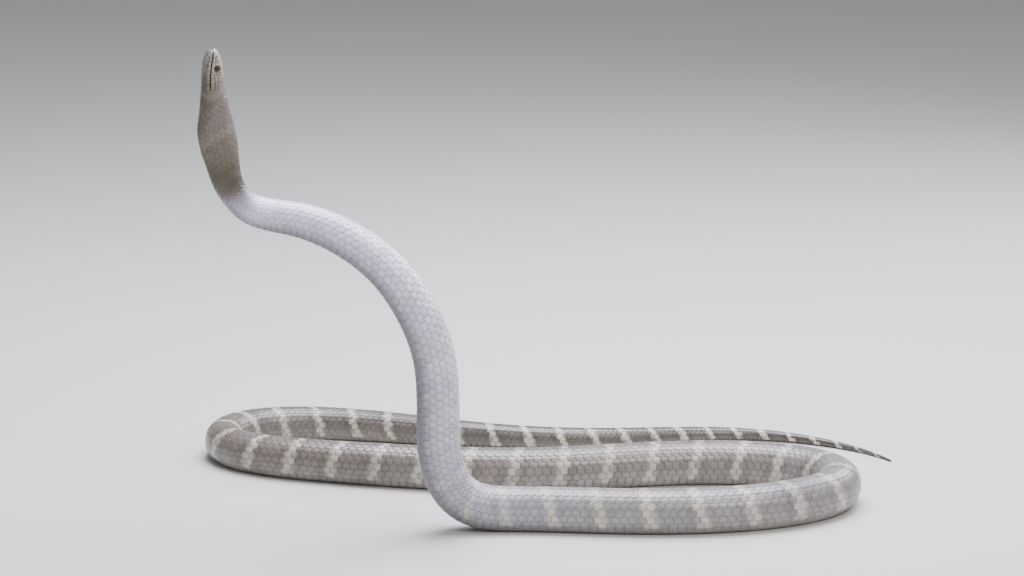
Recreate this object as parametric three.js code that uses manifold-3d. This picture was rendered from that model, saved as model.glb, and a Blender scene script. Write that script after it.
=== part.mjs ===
// A king cobra, life size, as a still model: the trunk lies on the floor in loose bends, the forebody
// rears, arches over and turns up again into a half-spread hood and a lifted head.
// Lengths are millimetres, +Z is up, +X runs to the snake's rear where it leaves the floor, and the
// origin is on the floor under the belly, just behind the place where the forebody lifts off.
// Every form is placed in body coordinates: s is the distance from the snout along the belly line,
// and phi is the angle round the body, 0 on the back, 90 on the snake's left and 180 on the belly.
import * as THREE from "three";
import Module from "manifold-3d";

const wasm = await Module();
wasm.setup();

// Driving dimensions
const TOTAL_LENGTH = 3400;
const HEAD_END = 86;
const JOINT_GAP = 0.3;
const RING_SIDES = 18;
const TRUNK_RING_STEP = 22;
const SCUTE_PITCH = 11.3;
const SCUTE_LIFT = 0.9;
const SCUTES_FADE = [690, 745];
const EYE_RADIUS = 4.1;
const EYE_STATION = 20;
const EYE_HEIGHT = 15;
const EYE_OUT = 11.1;
const NOSTRIL_STATION = 4.6;
const NOSTRIL_ANGLE = 66;
const NOSTRIL_RADIUS = 1.15;
const SHIELD_LIFT = 0.5;
const SHIELD_ROOT = 1.3;

// Guide points of the belly line, from the snout to the tail tip: a cubic B-spline runs smoothly by them.
const BELLY_LINE = [
  // head, leaning a little towards the front
  [-415, -24, 641],
  [-421, -12, 615],
  [-427, 0, 585],
  // hooded neck
  [-423, 6, 556],
  [-415, 10, 526],
  [-409, 13, 497],
  [-407, 17, 466],
  // sharp bend under the neck
  [-399, 23, 434],
  [-378, 27, 408],
  [-344, 22, 396],
  // arch of the forebody
  [-302, 14, 390],
  [-255, 4, 372],
  [-207, -6, 338],
  [-176, -12, 294],
  [-155, -13, 244],
  // column down to the floor
  [-150, -13, 202],
  [-150, -13, 149],
  [-151, -13, 102],
  [-133, -8, 41],
  [-90, -5, 7],
  [-46, -2, 0],
  [-8, -2, 0],
  // first run on the floor, to the right
  [42, -5, 0],
  [130, -16, 0],
  [234, -14, 0],
  [334, 14, 0],
  [412, 76, 0],
  [424, 164, 0],
  // second run, behind it to the left
  [352, 228, 0],
  [248, 244, 0],
  [138, 226, 0],
  [26, 200, 0],
  [-88, 200, 0],
  [-200, 228, 0],
  [-308, 258, 0],
  [-402, 300, 0],
  [-446, 378, 0],
  // third run, to the tail tip on the right
  [-408, 462, 0],
  [-312, 490, 0],
  [-204, 470, 0],
  [-96, 434, 0],
  [14, 418, 0],
  [126, 436, 0],
  [230, 470, 0],
  [330, 480, 0],
  [416, 446, 0],
  [480, 396, 0],
  [516, 336, 0],
];

// The way the back faces at each station: up on the floor, back and up on the arch, and turned a
// little to the front on the hood.
const BACK_FACES = [
  [0, 0.95, 0.1, 0.25],
  [58, 0.95, -0.03, 0.25],
  [108, 0.74, -0.68, 0.2],
  [180, 0.76, -0.62, 0.3],
  [245, 0.6, -0.2, 1],
  [335, 0.8, 0, 1],
  [640, 1, 0, 1],
  [760, 0.7, 0, 1],
  [860, 0, 0, 1],
];

// Station, width, height above the belly line, squareness of the section, and where the widest place
// is, as a share of the height.
const GIRTH = [
  [0, 17.5, 14.2, 2.3, 0.5],
  [6, 21, 17.2, 2.5, 0.5],
  [12, 24.8, 19.8, 2.7, 0.48],
  [20, 30, 23, 2.7, 0.46],
  [28, 35, 25.5, 2.6, 0.44],
  [38, 41, 28, 2.5, 0.42],
  [48, 45.5, 29.6, 2.4, 0.42],
  [56, 46.5, 30, 2.3, 0.43],
  [64, 45, 31.5, 2.2, 0.45],
  [74, 44, 33.5, 2.1, 0.46],
  [86, 47, 34, 2, 0.47],
  [100, 55, 33.5, 1.88, 0.47],
  [118, 63, 32, 1.78, 0.46],
  [138, 64, 31, 1.75, 0.45],
  [158, 58, 30.5, 1.78, 0.45],
  [186, 49, 32, 1.88, 0.46],
  [214, 43.5, 35, 2, 0.47],
  [245, 42, 38.5, 2.1, 0.48],
  [290, 43.5, 42.5, 2.12, 0.48],
  [350, 48.5, 47.5, 2.12, 0.48],
  [420, 52.5, 51.5, 2.12, 0.48],
  [500, 56, 55, 2.12, 0.48],
  [600, 58, 57, 2.12, 0.48],
  [900, 60, 58, 2.12, 0.47],
  [1400, 62, 59.5, 2.12, 0.47],
  [1900, 61, 58.5, 2.12, 0.47],
  [2350, 54, 52.5, 2.12, 0.47],
  [2620, 45, 44, 2.12, 0.47],
  [2720, 40, 39.5, 2.1, 0.47],
  [2900, 31, 30.5, 2.05, 0.47],
  [3100, 21, 20.5, 2, 0.47],
  [3300, 10, 9.6, 2, 0.48],
  [3400, 3.2, 3, 2, 0.5],
];
// Station and how far the chin rises above the belly line, and the height of the mouth's line.
const CHIN_RISE = [
  [0, 6.8],
  [2, 5],
  [4, 3.3],
  [8, 1.5],
  [14, 0.4],
  [20, 0],
];
const MOUTH_LINE = [
  [0, 7.2],
  [8, 7.3],
  [16, 7.1],
  [26, 7.4],
  [36, 8.4],
  [46, 10.4],
  [54, 12.6],
  [70, 14],
];
// How far the hood's edges bend towards the throat.
const HOOD_DROOP = [
  [80, 0],
  [110, 2.5],
  [132, 4],
  [165, 2.5],
  [210, 0],
];

// Smooth monotone curves through rows of [station, value, value ...], held level past both ends.
function smoothTable(rows) {
  const last = rows.length - 1;
  const width = rows[0].length - 1;
  const step = rows.slice(1).map((row, i) => row[0] - rows[i][0]);
  const rise = (i, k) => (rows[i + 1][k + 1] - rows[i][k + 1]) / step[i];
  const slope = (i, k) => {
    if (i === 0) return rise(0, k);
    if (i === last) return rise(last - 1, k);
    const before = rise(i - 1, k);
    const after = rise(i, k);
    if (before * after <= 0) return 0;
    const w1 = 2 * step[i] + step[i - 1];
    const w2 = step[i] + 2 * step[i - 1];
    return (w1 + w2) / (w1 / before + w2 / after);
  };
  const slopes = rows.map((_, i) =>
    Array.from({ length: width }, (_, k) => slope(i, k)),
  );
  return (station) => {
    const s = Math.min(Math.max(station, rows[0][0]), rows[last][0]);
    let i = 0;
    while (i < last - 1 && s > rows[i + 1][0]) i++;
    const t = (s - rows[i][0]) / step[i];
    return Array.from({ length: width }, (_, k) => {
      const a = rows[i][k + 1];
      const b = rows[i + 1][k + 1];
      return (
        (2 * t ** 3 - 3 * t ** 2 + 1) * a +
        (t ** 3 - 2 * t ** 2 + t) * step[i] * slopes[i][k] +
        (3 * t ** 2 - 2 * t ** 3) * b +
        (t ** 3 - t ** 2) * step[i] * slopes[i + 1][k]
      );
    });
  };
}
const backFaces = smoothTable(BACK_FACES);
const girth = smoothTable(GIRTH);
const chinRise = smoothTable(CHIN_RISE);
const mouthLine = smoothTable(MOUTH_LINE);
const hoodDroop = smoothTable(HOOD_DROOP);

// The belly line as close points with their distance from the snout.
const SPAN_STEPS = 60;
function sampleBellyLine() {
  const guides = BELLY_LINE.map((p) => new THREE.Vector3(...p));
  const before = guides[0].clone().multiplyScalar(2).sub(guides[1]);
  const after = guides.at(-1).clone().multiplyScalar(2).sub(guides.at(-2));
  const all = [before, ...guides, after];
  const points = [];
  for (let i = 0; i + 3 < all.length; i++)
    for (let j = 0; j < SPAN_STEPS; j++) {
      const t = j / SPAN_STEPS;
      const weights = [
        (1 - t) ** 3,
        3 * t ** 3 - 6 * t ** 2 + 4,
        -3 * t ** 3 + 3 * t ** 2 + 3 * t + 1,
        t ** 3,
      ];
      const p = new THREE.Vector3();
      weights.forEach((w, k) => p.addScaledVector(all[i + k], w / 6));
      points.push(p);
    }
  let along = 0;
  const distances = points.map((p, i) => {
    if (i) along += p.distanceTo(points[i - 1]);
    return along;
  });
  return { points, distances };
}
const line = sampleBellyLine();

function bellyPoint(s) {
  let low = 0;
  let high = line.distances.length - 1;
  while (high - low > 1) {
    const middle = (low + high) >> 1;
    if (line.distances[middle] <= s) low = middle;
    else high = middle;
  }
  const span = line.distances[high] - line.distances[low];
  const t = Math.max(0, Math.min(1, (s - line.distances[low]) / span));
  return line.points[low].clone().lerp(line.points[high], t);
}

// Origin and directions of the cross-section at a station: forward to the snout, back and left.
const TANGENT_REACH = 2;
function frameAt(s) {
  const origin = bellyPoint(s);
  const ahead = bellyPoint(Math.max(0, s - TANGENT_REACH));
  const forward = ahead.sub(bellyPoint(s + TANGENT_REACH)).normalize();
  const back = new THREE.Vector3(...backFaces(s));
  back.addScaledVector(forward, -back.dot(forward)).normalize();
  const left = new THREE.Vector3().crossVectors(back, forward);
  return { origin, forward, back, left };
}
function place(frame, x, y) {
  return frame.origin
    .clone()
    .addScaledVector(frame.left, x)
    .addScaledVector(frame.back, y);
}

const SNOUT_ROUND = 10;
const SNOUT_BLUNTNESS = 2.5;
const SNOUT_MIDDLE = 9;
const BELLY_FLATNESS = 1.12;
const radians = THREE.MathUtils.degToRad;
const bump = (t) => Math.exp(-t * t);

function sectionShape(s) {
  const [width, top, squareness, widest] = girth(s);
  const [bottom] = chinRise(s);
  const middle = bottom + (top - bottom) * widest;
  const tip = Math.max(0, 1 - s / SNOUT_ROUND);
  const closing = (1 - tip ** SNOUT_BLUNTNESS) ** (1 / SNOUT_BLUNTNESS);
  return { half: width / 2, top, bottom, middle, power: 2 / squareness, closing };
}

// A point of the bare cross-section, with its outward direction: x to the left, y up from the belly line.
function sectionPoint(s, phi) {
  const { half, top, bottom, middle, power, closing } = sectionShape(s);
  const sin = Math.sin(radians(phi));
  const cos = Math.cos(radians(phi));
  const across = Math.sign(sin) * Math.abs(sin) ** power;
  const upward = Math.abs(cos) ** power;
  const reach = cos >= 0 ? top - middle : middle - bottom;
  let y = middle + reach * upward;
  if (cos < 0) y = middle - reach * Math.min(1, BELLY_FLATNESS * upward);
  y -= hoodDroop(s)[0] * across ** 2;
  const x = half * across * closing;
  y = SNOUT_MIDDLE + (y - SNOUT_MIDDLE) * (s < SNOUT_ROUND ? closing : 1);
  const out = new THREE.Vector2(sin / half, cos / reach).normalize();
  return { x, y, out };
}

// The angle at which the section reaches a height, on the side of the head.
function angleAtHeight(s, height) {
  const { top, bottom, middle, power, closing } = sectionShape(s);
  const level = SNOUT_MIDDLE + (height - SNOUT_MIDDLE) / Math.max(closing, 0.05);
  const reach = level >= middle ? top - middle : (middle - bottom) * BELLY_FLATNESS;
  const share = Math.min(1, Math.abs(level - middle) / reach) ** (1 / power);
  const angle = THREE.MathUtils.radToDeg(Math.acos(share));
  return level >= middle ? angle : 180 - angle;
}
function angleAtReach(s, x) {
  const { half, power, closing } = sectionShape(s);
  const share = Math.min(1, Math.abs(x) / (half * closing)) ** (1 / power);
  return THREE.MathUtils.radToDeg(Math.asin(share));
}

// Brow, eye hollow, snout ridge, hollow before the eye and jaw muscle, as a swelling in millimetres.
function headRelief(s, phi, y) {
  const side = Math.abs(phi);
  const brow = 1.5 * bump((s - 19.5) / 6) * bump((side - 50) / 12);
  const socket = -1.3 * bump((s - EYE_STATION) / 4.6) * bump((y - EYE_HEIGHT) / 3.6);
  const ridge = 0.6 * bump((s - 11) / 5) * bump((side - 56) / 9);
  const hollow = -0.7 * bump((s - 12) / 3.4) * bump((side - 84) / 12);
  const muscle = 1.2 * bump((s - 53) / 10) * bump((side - 84) / 30);
  return brow + ridge + hollow + muscle + (side > 60 ? socket : 0);
}

// A point on the finished surface, raised by an extra height.
function skinPoint(s, phi, raise = 0) {
  const { x, y, out } = sectionPoint(s, phi);
  const swell = raise + (s < HEAD_END ? headRelief(s, phi, y) : 0);
  return place(frameAt(s), x + out.x * swell, y + out.y * swell);
}

// Belly plates of the reared part, each rising to its rear edge and stepping down to the next.
function scuteLift(s, phi) {
  if (s < HEAD_END || Math.abs(phi) < 130) return 0;
  const share = ((s - HEAD_END) / SCUTE_PITCH) % 1;
  const fade = 1 - THREE.MathUtils.smoothstep(s, ...SCUTES_FADE);
  return SCUTE_LIFT * share * fade;
}

function solidFrom(vertices, triangles) {
  const mesh = () =>
    new wasm.Mesh({
      numProp: 3,
      vertProperties: new Float32Array(vertices.flatMap((v) => [v.x, v.y, v.z])),
      triVerts: new Uint32Array(triangles.flat()),
    });
  const solid = new wasm.Manifold(mesh());
  if (solid.volume() > 0) return solid;
  triangles.forEach((t) => t.reverse());
  return new wasm.Manifold(mesh());
}

// A closed solid through rings of equally many points, capped with a fan round a point at each end.
function loft(rings, firstTip, lastTip) {
  const count = rings[0].length;
  const vertices = [...rings.flat(), firstTip, lastTip];
  const first = vertices.length - 2;
  const triangles = [];
  for (let j = 0; j < count; j++) {
    const next = (j + 1) % count;
    for (let i = 0; i + 1 < rings.length; i++) {
      const [a, b] = [i * count + j, i * count + next];
      triangles.push([a, b, b + count], [a, b + count, a + count]);
    }
    const end = (rings.length - 1) * count;
    triangles.push([first, next, j], [first + 1, end + j, end + next]);
  }
  return solidFrom(vertices, triangles);
}
const middleOf = (ring) =>
  ring.reduce((sum, p) => sum.add(p), new THREE.Vector3()).divideScalar(ring.length);

// One length of neck, trunk or tail between two stations, short of each by half the gap.
function bodyLength(from, to) {
  const start = from + JOINT_GAP / 2;
  const end = to - JOINT_GAP / 2;
  const stations = [start, end];
  const clear = 1.2;
  const scuteStep = 0.4;
  if (from < SCUTES_FADE[1])
    for (let edge = HEAD_END; edge < end; edge += SCUTE_PITCH)
      stations.push(edge - scuteStep, edge + scuteStep);
  else
    for (let k = 1; k * TRUNK_RING_STEP < to - from; k++)
      stations.push(from + k * TRUNK_RING_STEP);
  const used = stations
    .filter((s) => [start, end].includes(s) || (s > start + clear && s < end - clear))
    .sort((a, b) => a - b);
  const ring = (s) =>
    Array.from({ length: RING_SIDES }, (_, j) => {
      const phi = (j * 360) / RING_SIDES - 180;
      return skinPoint(s, phi, scuteLift(s, phi));
    });
  const rings = used.map(ring);
  return loft(rings, middleOf(rings[0]), middleOf(rings.at(-1)));
}

// The head's rings close in on the mouth's line, so that the lips and the groove between them show.
const LIP_HEIGHT = 1.4;
const GROOVE_DEPTH = 1.3;
const MOUTH_CORNER = 50;
const HEAD_STATIONS = [
  0.5, 1.6, 3.2, 5.2, 7.6, 10.2, 13, 15.8, 18.4, 21, 23.8, 26.8, 30, 33.5, 37.2, 41, 45,
  49, 53, 57.5, 62.5, 68, 74, 80,
];
const ROWS_ABOVE_LIP = 8;
const ROWS_BELOW_LIP = 6;
function headRing(s) {
  const [mouth] = mouthLine(s);
  const upper = Math.min(angleAtHeight(s, mouth + LIP_HEIGHT), 150);
  const groove = Math.min(Math.max(angleAtHeight(s, mouth), upper + 4), 162);
  const lower = Math.min(Math.max(angleAtHeight(s, mouth - LIP_HEIGHT), groove + 4), 170);
  const closing = 1 - THREE.MathUtils.smoothstep(s, MOUTH_CORNER - 4, MOUTH_CORNER + 3);
  const fade = closing * THREE.MathUtils.smoothstep(s, 0.8, 2.4);
  const rows = [];
  for (let k = 0; k <= ROWS_ABOVE_LIP; k++) rows.push([(upper * k) / ROWS_ABOVE_LIP, 0]);
  rows.push([groove, -GROOVE_DEPTH * fade]);
  for (let k = 0; k <= ROWS_BELOW_LIP; k++)
    rows.push([lower + ((180 - lower) * k) / ROWS_BELOW_LIP, 0]);
  const rightSide = rows
    .slice(1, -1)
    .reverse()
    .map(([phi, raise]) => [-phi, raise]);
  return [...rows, ...rightSide].map(([phi, raise]) => skinPoint(s, phi, raise));
}
function wholeHead() {
  const stations = [...HEAD_STATIONS, HEAD_END - JOINT_GAP / 2];
  const rings = stations.map(headRing);
  return loft(rings, place(frameAt(0), 0, SNOUT_MIDDLE), middleOf(rings.at(-1)));
}

// A thin curved blade along the mouth's line and down behind its corner, which parts off the jaw.
const BLADE_REACH = 40;
function jawBlade() {
  const profile = [];
  for (let s = -4; s <= MOUTH_CORNER; s += 3) profile.push([s, mouthLine(s)[0]]);
  profile.push([MOUTH_CORNER + 3, 10], [MOUTH_CORNER + 5, 5], [MOUTH_CORNER + 6, -6]);
  const rings = profile.map(([s, y], i) => {
    const before = profile[Math.max(0, i - 1)];
    const after = profile[Math.min(profile.length - 1, i + 1)];
    const along = new THREE.Vector2(after[0] - before[0], after[1] - before[1]).normalize();
    const corner = (x, side) => {
      const offset = (side * JOINT_GAP) / 2;
      const station = s - along.y * offset;
      const frame = frameAt(Math.max(0, station));
      const point = place(frame, x, y + along.x * offset);
      return point.addScaledVector(frame.forward, Math.max(0, -station));
    };
    return [
      corner(-BLADE_REACH, -1),
      corner(BLADE_REACH, -1),
      corner(BLADE_REACH, 1),
      corner(-BLADE_REACH, 1),
    ];
  });
  return loft(rings, middleOf(rings[0]), middleOf(rings.at(-1)));
}

function ball(centre, radius) {
  const shape = new THREE.SphereGeometry(radius, 14, 10);
  const around = 14;
  const rings = [];
  for (let j = 1; j < 10; j++) {
    const ring = [];
    for (let i = 0; i < around; i++)
      ring.push(
        new THREE.Vector3()
          .fromBufferAttribute(shape.attributes.position, j * (around + 1) + i)
          .add(centre),
      );
    rings.push(ring);
  }
  const pole = new THREE.Vector3(0, radius, 0);
  return loft(rings, centre.clone().add(pole), centre.clone().sub(pole));
}
const eyeCentre = (side) => place(frameAt(EYE_STATION), side * EYE_OUT, EYE_HEIGHT);
const nostrilCentre = (side) =>
  skinPoint(NOSTRIL_STATION, side * NOSTRIL_ANGLE, -0.2);

// Head shields: each outline is [station, distance from the middle] for those on top, and
// [station, height above the mouth's line] for those on the lips, on the snake's left.
const TOP_SHIELDS = {
  internasal: [
    [3.2, 0.35],
    [2.8, 4.2],
    [5.6, 6.6],
    [8, 5.2],
    [8.4, 0.35],
  ],
  prefrontal: [
    [9.1, 0.35],
    [8.7, 5.4],
    [9.2, 8.6],
    [13.6, 9.6],
    [14.8, 5.2],
    [15.8, 0.35],
  ],
  frontal: [
    [16.5, 0],
    [15.6, 4.8],
    [20, 5],
    [25.4, 3.8],
    [29.2, 0],
  ],
  supraocular: [
    [14.6, 6],
    [14.8, 9.8],
    [19.6, 12.9],
    [25.6, 13.2],
    [26.6, 9],
    [25.6, 4.8],
    [20, 5.9],
  ],
  parietal: [
    [30, 0.4],
    [26.6, 4.4],
    [28, 9.6],
    [30.4, 13.6],
    [36, 13],
    [41.6, 8],
    [42.6, 0.4],
  ],
  occipital: [
    [43.5, 0.4],
    [42.4, 8],
    [44.2, 11.8],
    [49.4, 11.6],
    [53, 7],
    [53.6, 0.4],
  ],
};
const TEMPORAL_SHIELDS = [
  [30, 37, 7.5, 12.5],
  [37.8, 45, 7.5, 13],
];
const UPPER_LABIALS = [
  [2.4, 6.4, 1.5, 4.6],
  [7, 11.6, 1.5, 5],
  [12.2, 17, 1.5, 4.4],
  [17.6, 23.4, 1.5, 2.6],
  [24, 30.6, 1.5, 5.4],
  [31.2, 38, 1.5, 6],
  [38.6, 46, 1.5, 6],
];
const LOWER_LABIALS = [
  [4.6, 9.6, -1.5, -4],
  [10.2, 16, -1.5, -5],
  [16.6, 23.4, -1.5, -5.6],
  [24, 31.4, -1.5, -6],
  [32, 39.4, -1.5, -6],
  [40, 46.6, -1.5, -6],
];

// One shield as a thin closed plate, sunk into the head by its root and crowned in the middle.
const SHIELD_EDGE = 0.3;
const SHIELD_CROWN = 0.2;
const SHIELD_STEP = 6;
function shieldPlate(outline, toAngle, side) {
  const edge = outline.flatMap(([s, value], i) => {
    const [s2, value2] = outline[(i + 1) % outline.length];
    const parts = Math.ceil(Math.hypot(s2 - s, value2 - value) / SHIELD_STEP);
    return Array.from({ length: parts }, (_, k) => [
      s + ((s2 - s) * k) / parts,
      value + ((value2 - value) * k) / parts,
    ]);
  });
  const centre = [0, 1].map((k) => edge.reduce((sum, p) => sum + p[k], 0) / edge.length);
  const inset = edge.map(([s, value]) => {
    const reach = Math.hypot(centre[0] - s, centre[1] - value);
    const share = Math.min(0.4, SHIELD_EDGE / reach);
    return [s + (centre[0] - s) * share, value + (centre[1] - value) * share];
  });
  const lay = ([s, value], raise) => skinPoint(s, side * toAngle(s, value), raise);
  const rings = [
    edge.map((p) => lay(p, -SHIELD_ROOT)),
    inset.map((p) => lay(p, SHIELD_LIFT)),
  ];
  return loft(rings, lay(centre, -SHIELD_ROOT), lay(centre, SHIELD_LIFT + SHIELD_CROWN));
}
const overMouth = (s, above) => angleAtHeight(s, mouthLine(s)[0] + above);
const box = ([front, rear, low, high]) => [
  [front, low],
  [rear, low],
  [rear - 0.4, high],
  [front - 0.4, high],
];
function mirroredFrontal() {
  const half = TOP_SHIELDS.frontal;
  const other = half
    .slice(1, -1)
    .reverse()
    .map(([s, x]) => [s, -x]);
  return [...half, ...other];
}
function signedAngleAtReach(s, x) {
  return Math.sign(x) * angleAtReach(s, x);
}
function topShields() {
  const plates = [shieldPlate(mirroredFrontal(), signedAngleAtReach, 1)];
  for (const side of [1, -1]) {
    for (const [name, outline] of Object.entries(TOP_SHIELDS))
      if (name !== "frontal") plates.push(shieldPlate(outline, signedAngleAtReach, side));
    for (const sizes of [...UPPER_LABIALS, ...TEMPORAL_SHIELDS])
      plates.push(shieldPlate(box(sizes), overMouth, side));
  }
  return plates;
}
const jawShields = () =>
  [1, -1].flatMap((side) =>
    LOWER_LABIALS.map((sizes) => shieldPlate(box(sizes), overMouth, side)),
  );

const largest = (solid) =>
  solid.decompose().sort((a, b) => b.volume() - a.volume())[0];

function headAndJaw() {
  const parted = wholeHead()
    .subtract(jawBlade())
    .decompose()
    .sort((a, b) => b.volume() - a.volume());
  let head = parted[0];
  let jaw = parted[1];
  for (const plate of topShields()) head = head.add(plate);
  for (const plate of jawShields()) jaw = jaw.add(plate);
  const blade = jawBlade();
  head = head.subtract(blade);
  jaw = jaw.subtract(blade);
  for (const side of [1, -1]) {
    head = head.subtract(ball(eyeCentre(side), EYE_RADIUS + JOINT_GAP));
    head = head.subtract(ball(nostrilCentre(side), NOSTRIL_RADIUS));
  }
  return [largest(head), largest(jaw)];
}

// Finishes
const HEAD_COLOUR = "#6f665b";
const NECK_COLOUR = "#756a61";
const BODY_COLOUR = "#b5aeb4";
const TRUNK_COLOUR = "#8f8789";
const TAIL_COLOUR = "#6a6366";
const JAW_COLOUR = "#b3a88e";
const EYE_COLOUR = "#4a3015";
const finish = (colour, roughness) =>
  new THREE.MeshStandardMaterial({ color: colour, roughness, metalness: 0 });

const cobra = new THREE.Group();
function addNode(name, solid, material) {
  const { vertProperties, triVerts } = solid.getMesh();
  const geometry = new THREE.BufferGeometry();
  geometry.setAttribute("position", new THREE.BufferAttribute(vertProperties, 3));
  geometry.setIndex(new THREE.BufferAttribute(triVerts, 1));
  geometry.computeVertexNormals();
  const mesh = new THREE.Mesh(geometry, material);
  mesh.name = name;
  cobra.add(mesh);
}

const [head, jaw] = headAndJaw();
addNode("head", head, finish(HEAD_COLOUR, 0.42));
addNode("lower_jaw", jaw, finish(JAW_COLOUR, 0.45));
addNode("eye_left", ball(eyeCentre(1), EYE_RADIUS), finish(EYE_COLOUR, 0.08));
addNode("eye_right", ball(eyeCentre(-1), EYE_RADIUS), finish(EYE_COLOUR, 0.08));

// Lengths of the body, each with the station where it ends.
const LENGTHS = [
  ["neck_hood", 222, NECK_COLOUR],
  ["forebody_arch", 410, BODY_COLOUR],
  ["forebody_column", 610, BODY_COLOUR],
  ["forebody_base", 830, BODY_COLOUR],
  ["trunk_1", 1120, TRUNK_COLOUR],
  ["trunk_2", 1400, TRUNK_COLOUR],
  ["trunk_3", 1690, TRUNK_COLOUR],
  ["trunk_4", 2010, TRUNK_COLOUR],
  ["trunk_5", 2340, TRUNK_COLOUR],
  ["trunk_6", 2720, TRUNK_COLOUR],
  ["tail_1", 3060, TAIL_COLOUR],
  ["tail_2", TOTAL_LENGTH, TAIL_COLOUR],
];
let reached = HEAD_END;
for (const [name, end, colour] of LENGTHS) {
  addNode(name, bodyLength(reached, end), finish(colour, 0.4));
  reached = end;
}

export default cobra;
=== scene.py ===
"""A life-size king cobra as a still model, its forebody reared in an arch over the bends of its trunk.

Every surface is worked out in body coordinates, which the solids share: the station is the distance
from the snout along the belly line, and the angle runs round the body, 0 on the back, a quarter turn
on the snake's left and a half turn on the belly. The tables are in millimetres, and each point turns
into metres as it is placed. One skin carries the colours; scales, belly scutes and head shields are
plates that lie on it; the eyes are separate.
"""

import logging
import math
from dataclasses import dataclass
from enum import Enum
from typing import NamedTuple

import bpy
import numpy as np
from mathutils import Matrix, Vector


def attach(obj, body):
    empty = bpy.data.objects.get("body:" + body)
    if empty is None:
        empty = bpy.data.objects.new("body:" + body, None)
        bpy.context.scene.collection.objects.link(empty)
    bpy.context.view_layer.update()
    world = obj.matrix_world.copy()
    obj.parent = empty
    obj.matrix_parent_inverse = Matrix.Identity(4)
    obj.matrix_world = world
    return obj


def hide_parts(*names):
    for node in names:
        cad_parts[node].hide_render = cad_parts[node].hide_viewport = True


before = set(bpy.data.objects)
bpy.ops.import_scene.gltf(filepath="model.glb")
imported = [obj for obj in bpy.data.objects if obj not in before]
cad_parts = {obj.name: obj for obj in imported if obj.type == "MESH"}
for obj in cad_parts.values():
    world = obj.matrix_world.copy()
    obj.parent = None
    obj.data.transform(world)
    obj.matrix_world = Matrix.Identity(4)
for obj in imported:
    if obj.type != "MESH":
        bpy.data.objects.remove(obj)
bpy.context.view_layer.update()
LOG = logging.getLogger("cobra")

MM = 0.001
LENGTH = 3400.0
VENT = 2720.0
HEAD_END = 86.0
SEED = 20

# The unwrap: the margin round the map, the share of it that is used, and a scale's patch in it.
UV_MARGIN = 0.02
UV_SHARE = 0.96
UV_PATCH = 0.003
# How far the unwrap of the scales under the body is drawn in, to lie clear of the others' map.
UV_UNDERSIDE = (1, 0.62)

FLESH_NODES = (
    "head", "lower_jaw", "neck_hood", "forebody_arch", "forebody_column", "forebody_base",
    "trunk_1", "trunk_2", "trunk_3", "trunk_4", "trunk_5", "trunk_6", "tail_1", "tail_2",
)

# Guide points of the belly line from the snout to the tail tip: head, hooded neck, sharp bend, arch,
# column, and the three runs on the floor.
BELLY_LINE = (
    (-415, -24, 641), (-421, -12, 615), (-427, 0, 585),
    (-423, 6, 556), (-415, 10, 526), (-409, 13, 497), (-407, 17, 466),
    (-399, 23, 434), (-378, 27, 408), (-344, 22, 396),
    (-302, 14, 390), (-255, 4, 372), (-207, -6, 338), (-176, -12, 294), (-155, -13, 244),
    (-150, -13, 202), (-150, -13, 149), (-151, -13, 102), (-133, -8, 41), (-90, -5, 7),
    (-46, -2, 0), (-8, -2, 0),
    (42, -5, 0), (130, -16, 0), (234, -14, 0), (334, 14, 0), (412, 76, 0), (424, 164, 0),
    (352, 228, 0), (248, 244, 0), (138, 226, 0), (26, 200, 0), (-88, 200, 0), (-200, 228, 0),
    (-308, 258, 0), (-402, 300, 0), (-446, 378, 0),
    (-408, 462, 0), (-312, 490, 0), (-204, 470, 0), (-96, 434, 0), (14, 418, 0), (126, 436, 0),
    (230, 470, 0), (330, 480, 0), (416, 446, 0), (480, 396, 0), (516, 336, 0),
)
# Station and the way that the back faces.
BACK_FACES = (
    (0, 0.95, 0.1, 0.25), (58, 0.95, -0.03, 0.25), (108, 0.74, -0.68, 0.2),
    (180, 0.76, -0.62, 0.3), (245, 0.6, -0.2, 1), (335, 0.8, 0, 1), (640, 1, 0, 1),
    (760, 0.7, 0, 1), (860, 0, 0, 1),
)
# Station, width, height above the belly line, squareness, and the widest place as a share of height.
GIRTH = (
    (0, 17.5, 14.2, 2.3, 0.5), (6, 21, 17.2, 2.5, 0.5), (12, 24.8, 19.8, 2.7, 0.48),
    (20, 30, 23, 2.7, 0.46), (28, 35, 25.5, 2.6, 0.44), (38, 41, 28, 2.5, 0.42),
    (48, 45.5, 29.6, 2.4, 0.42), (56, 46.5, 30, 2.3, 0.43), (64, 45, 31.5, 2.2, 0.45),
    (74, 44, 33.5, 2.1, 0.46), (86, 47, 34, 2, 0.47), (100, 55, 33.5, 1.88, 0.47),
    (118, 63, 32, 1.78, 0.46), (138, 64, 31, 1.75, 0.45), (158, 58, 30.5, 1.78, 0.45),
    (186, 49, 32, 1.88, 0.46), (214, 43.5, 35, 2, 0.47), (245, 42, 38.5, 2.1, 0.48),
    (290, 43.5, 42.5, 2.12, 0.48), (350, 48.5, 47.5, 2.12, 0.48), (420, 52.5, 51.5, 2.12, 0.48),
    (500, 56, 55, 2.12, 0.48), (600, 58, 57, 2.12, 0.48), (900, 60, 58, 2.12, 0.47),
    (1400, 62, 59.5, 2.12, 0.47), (1900, 61, 58.5, 2.12, 0.47), (2350, 54, 52.5, 2.12, 0.47),
    (2620, 45, 44, 2.12, 0.47), (2720, 40, 39.5, 2.1, 0.47), (2900, 31, 30.5, 2.05, 0.47),
    (3100, 21, 20.5, 2, 0.47), (3300, 10, 9.6, 2, 0.48), (3400, 3.2, 3, 2, 0.5),
)
CHIN_RISE = ((0, 6.8), (2, 5), (4, 3.3), (8, 1.5), (14, 0.4), (20, 0))
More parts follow.
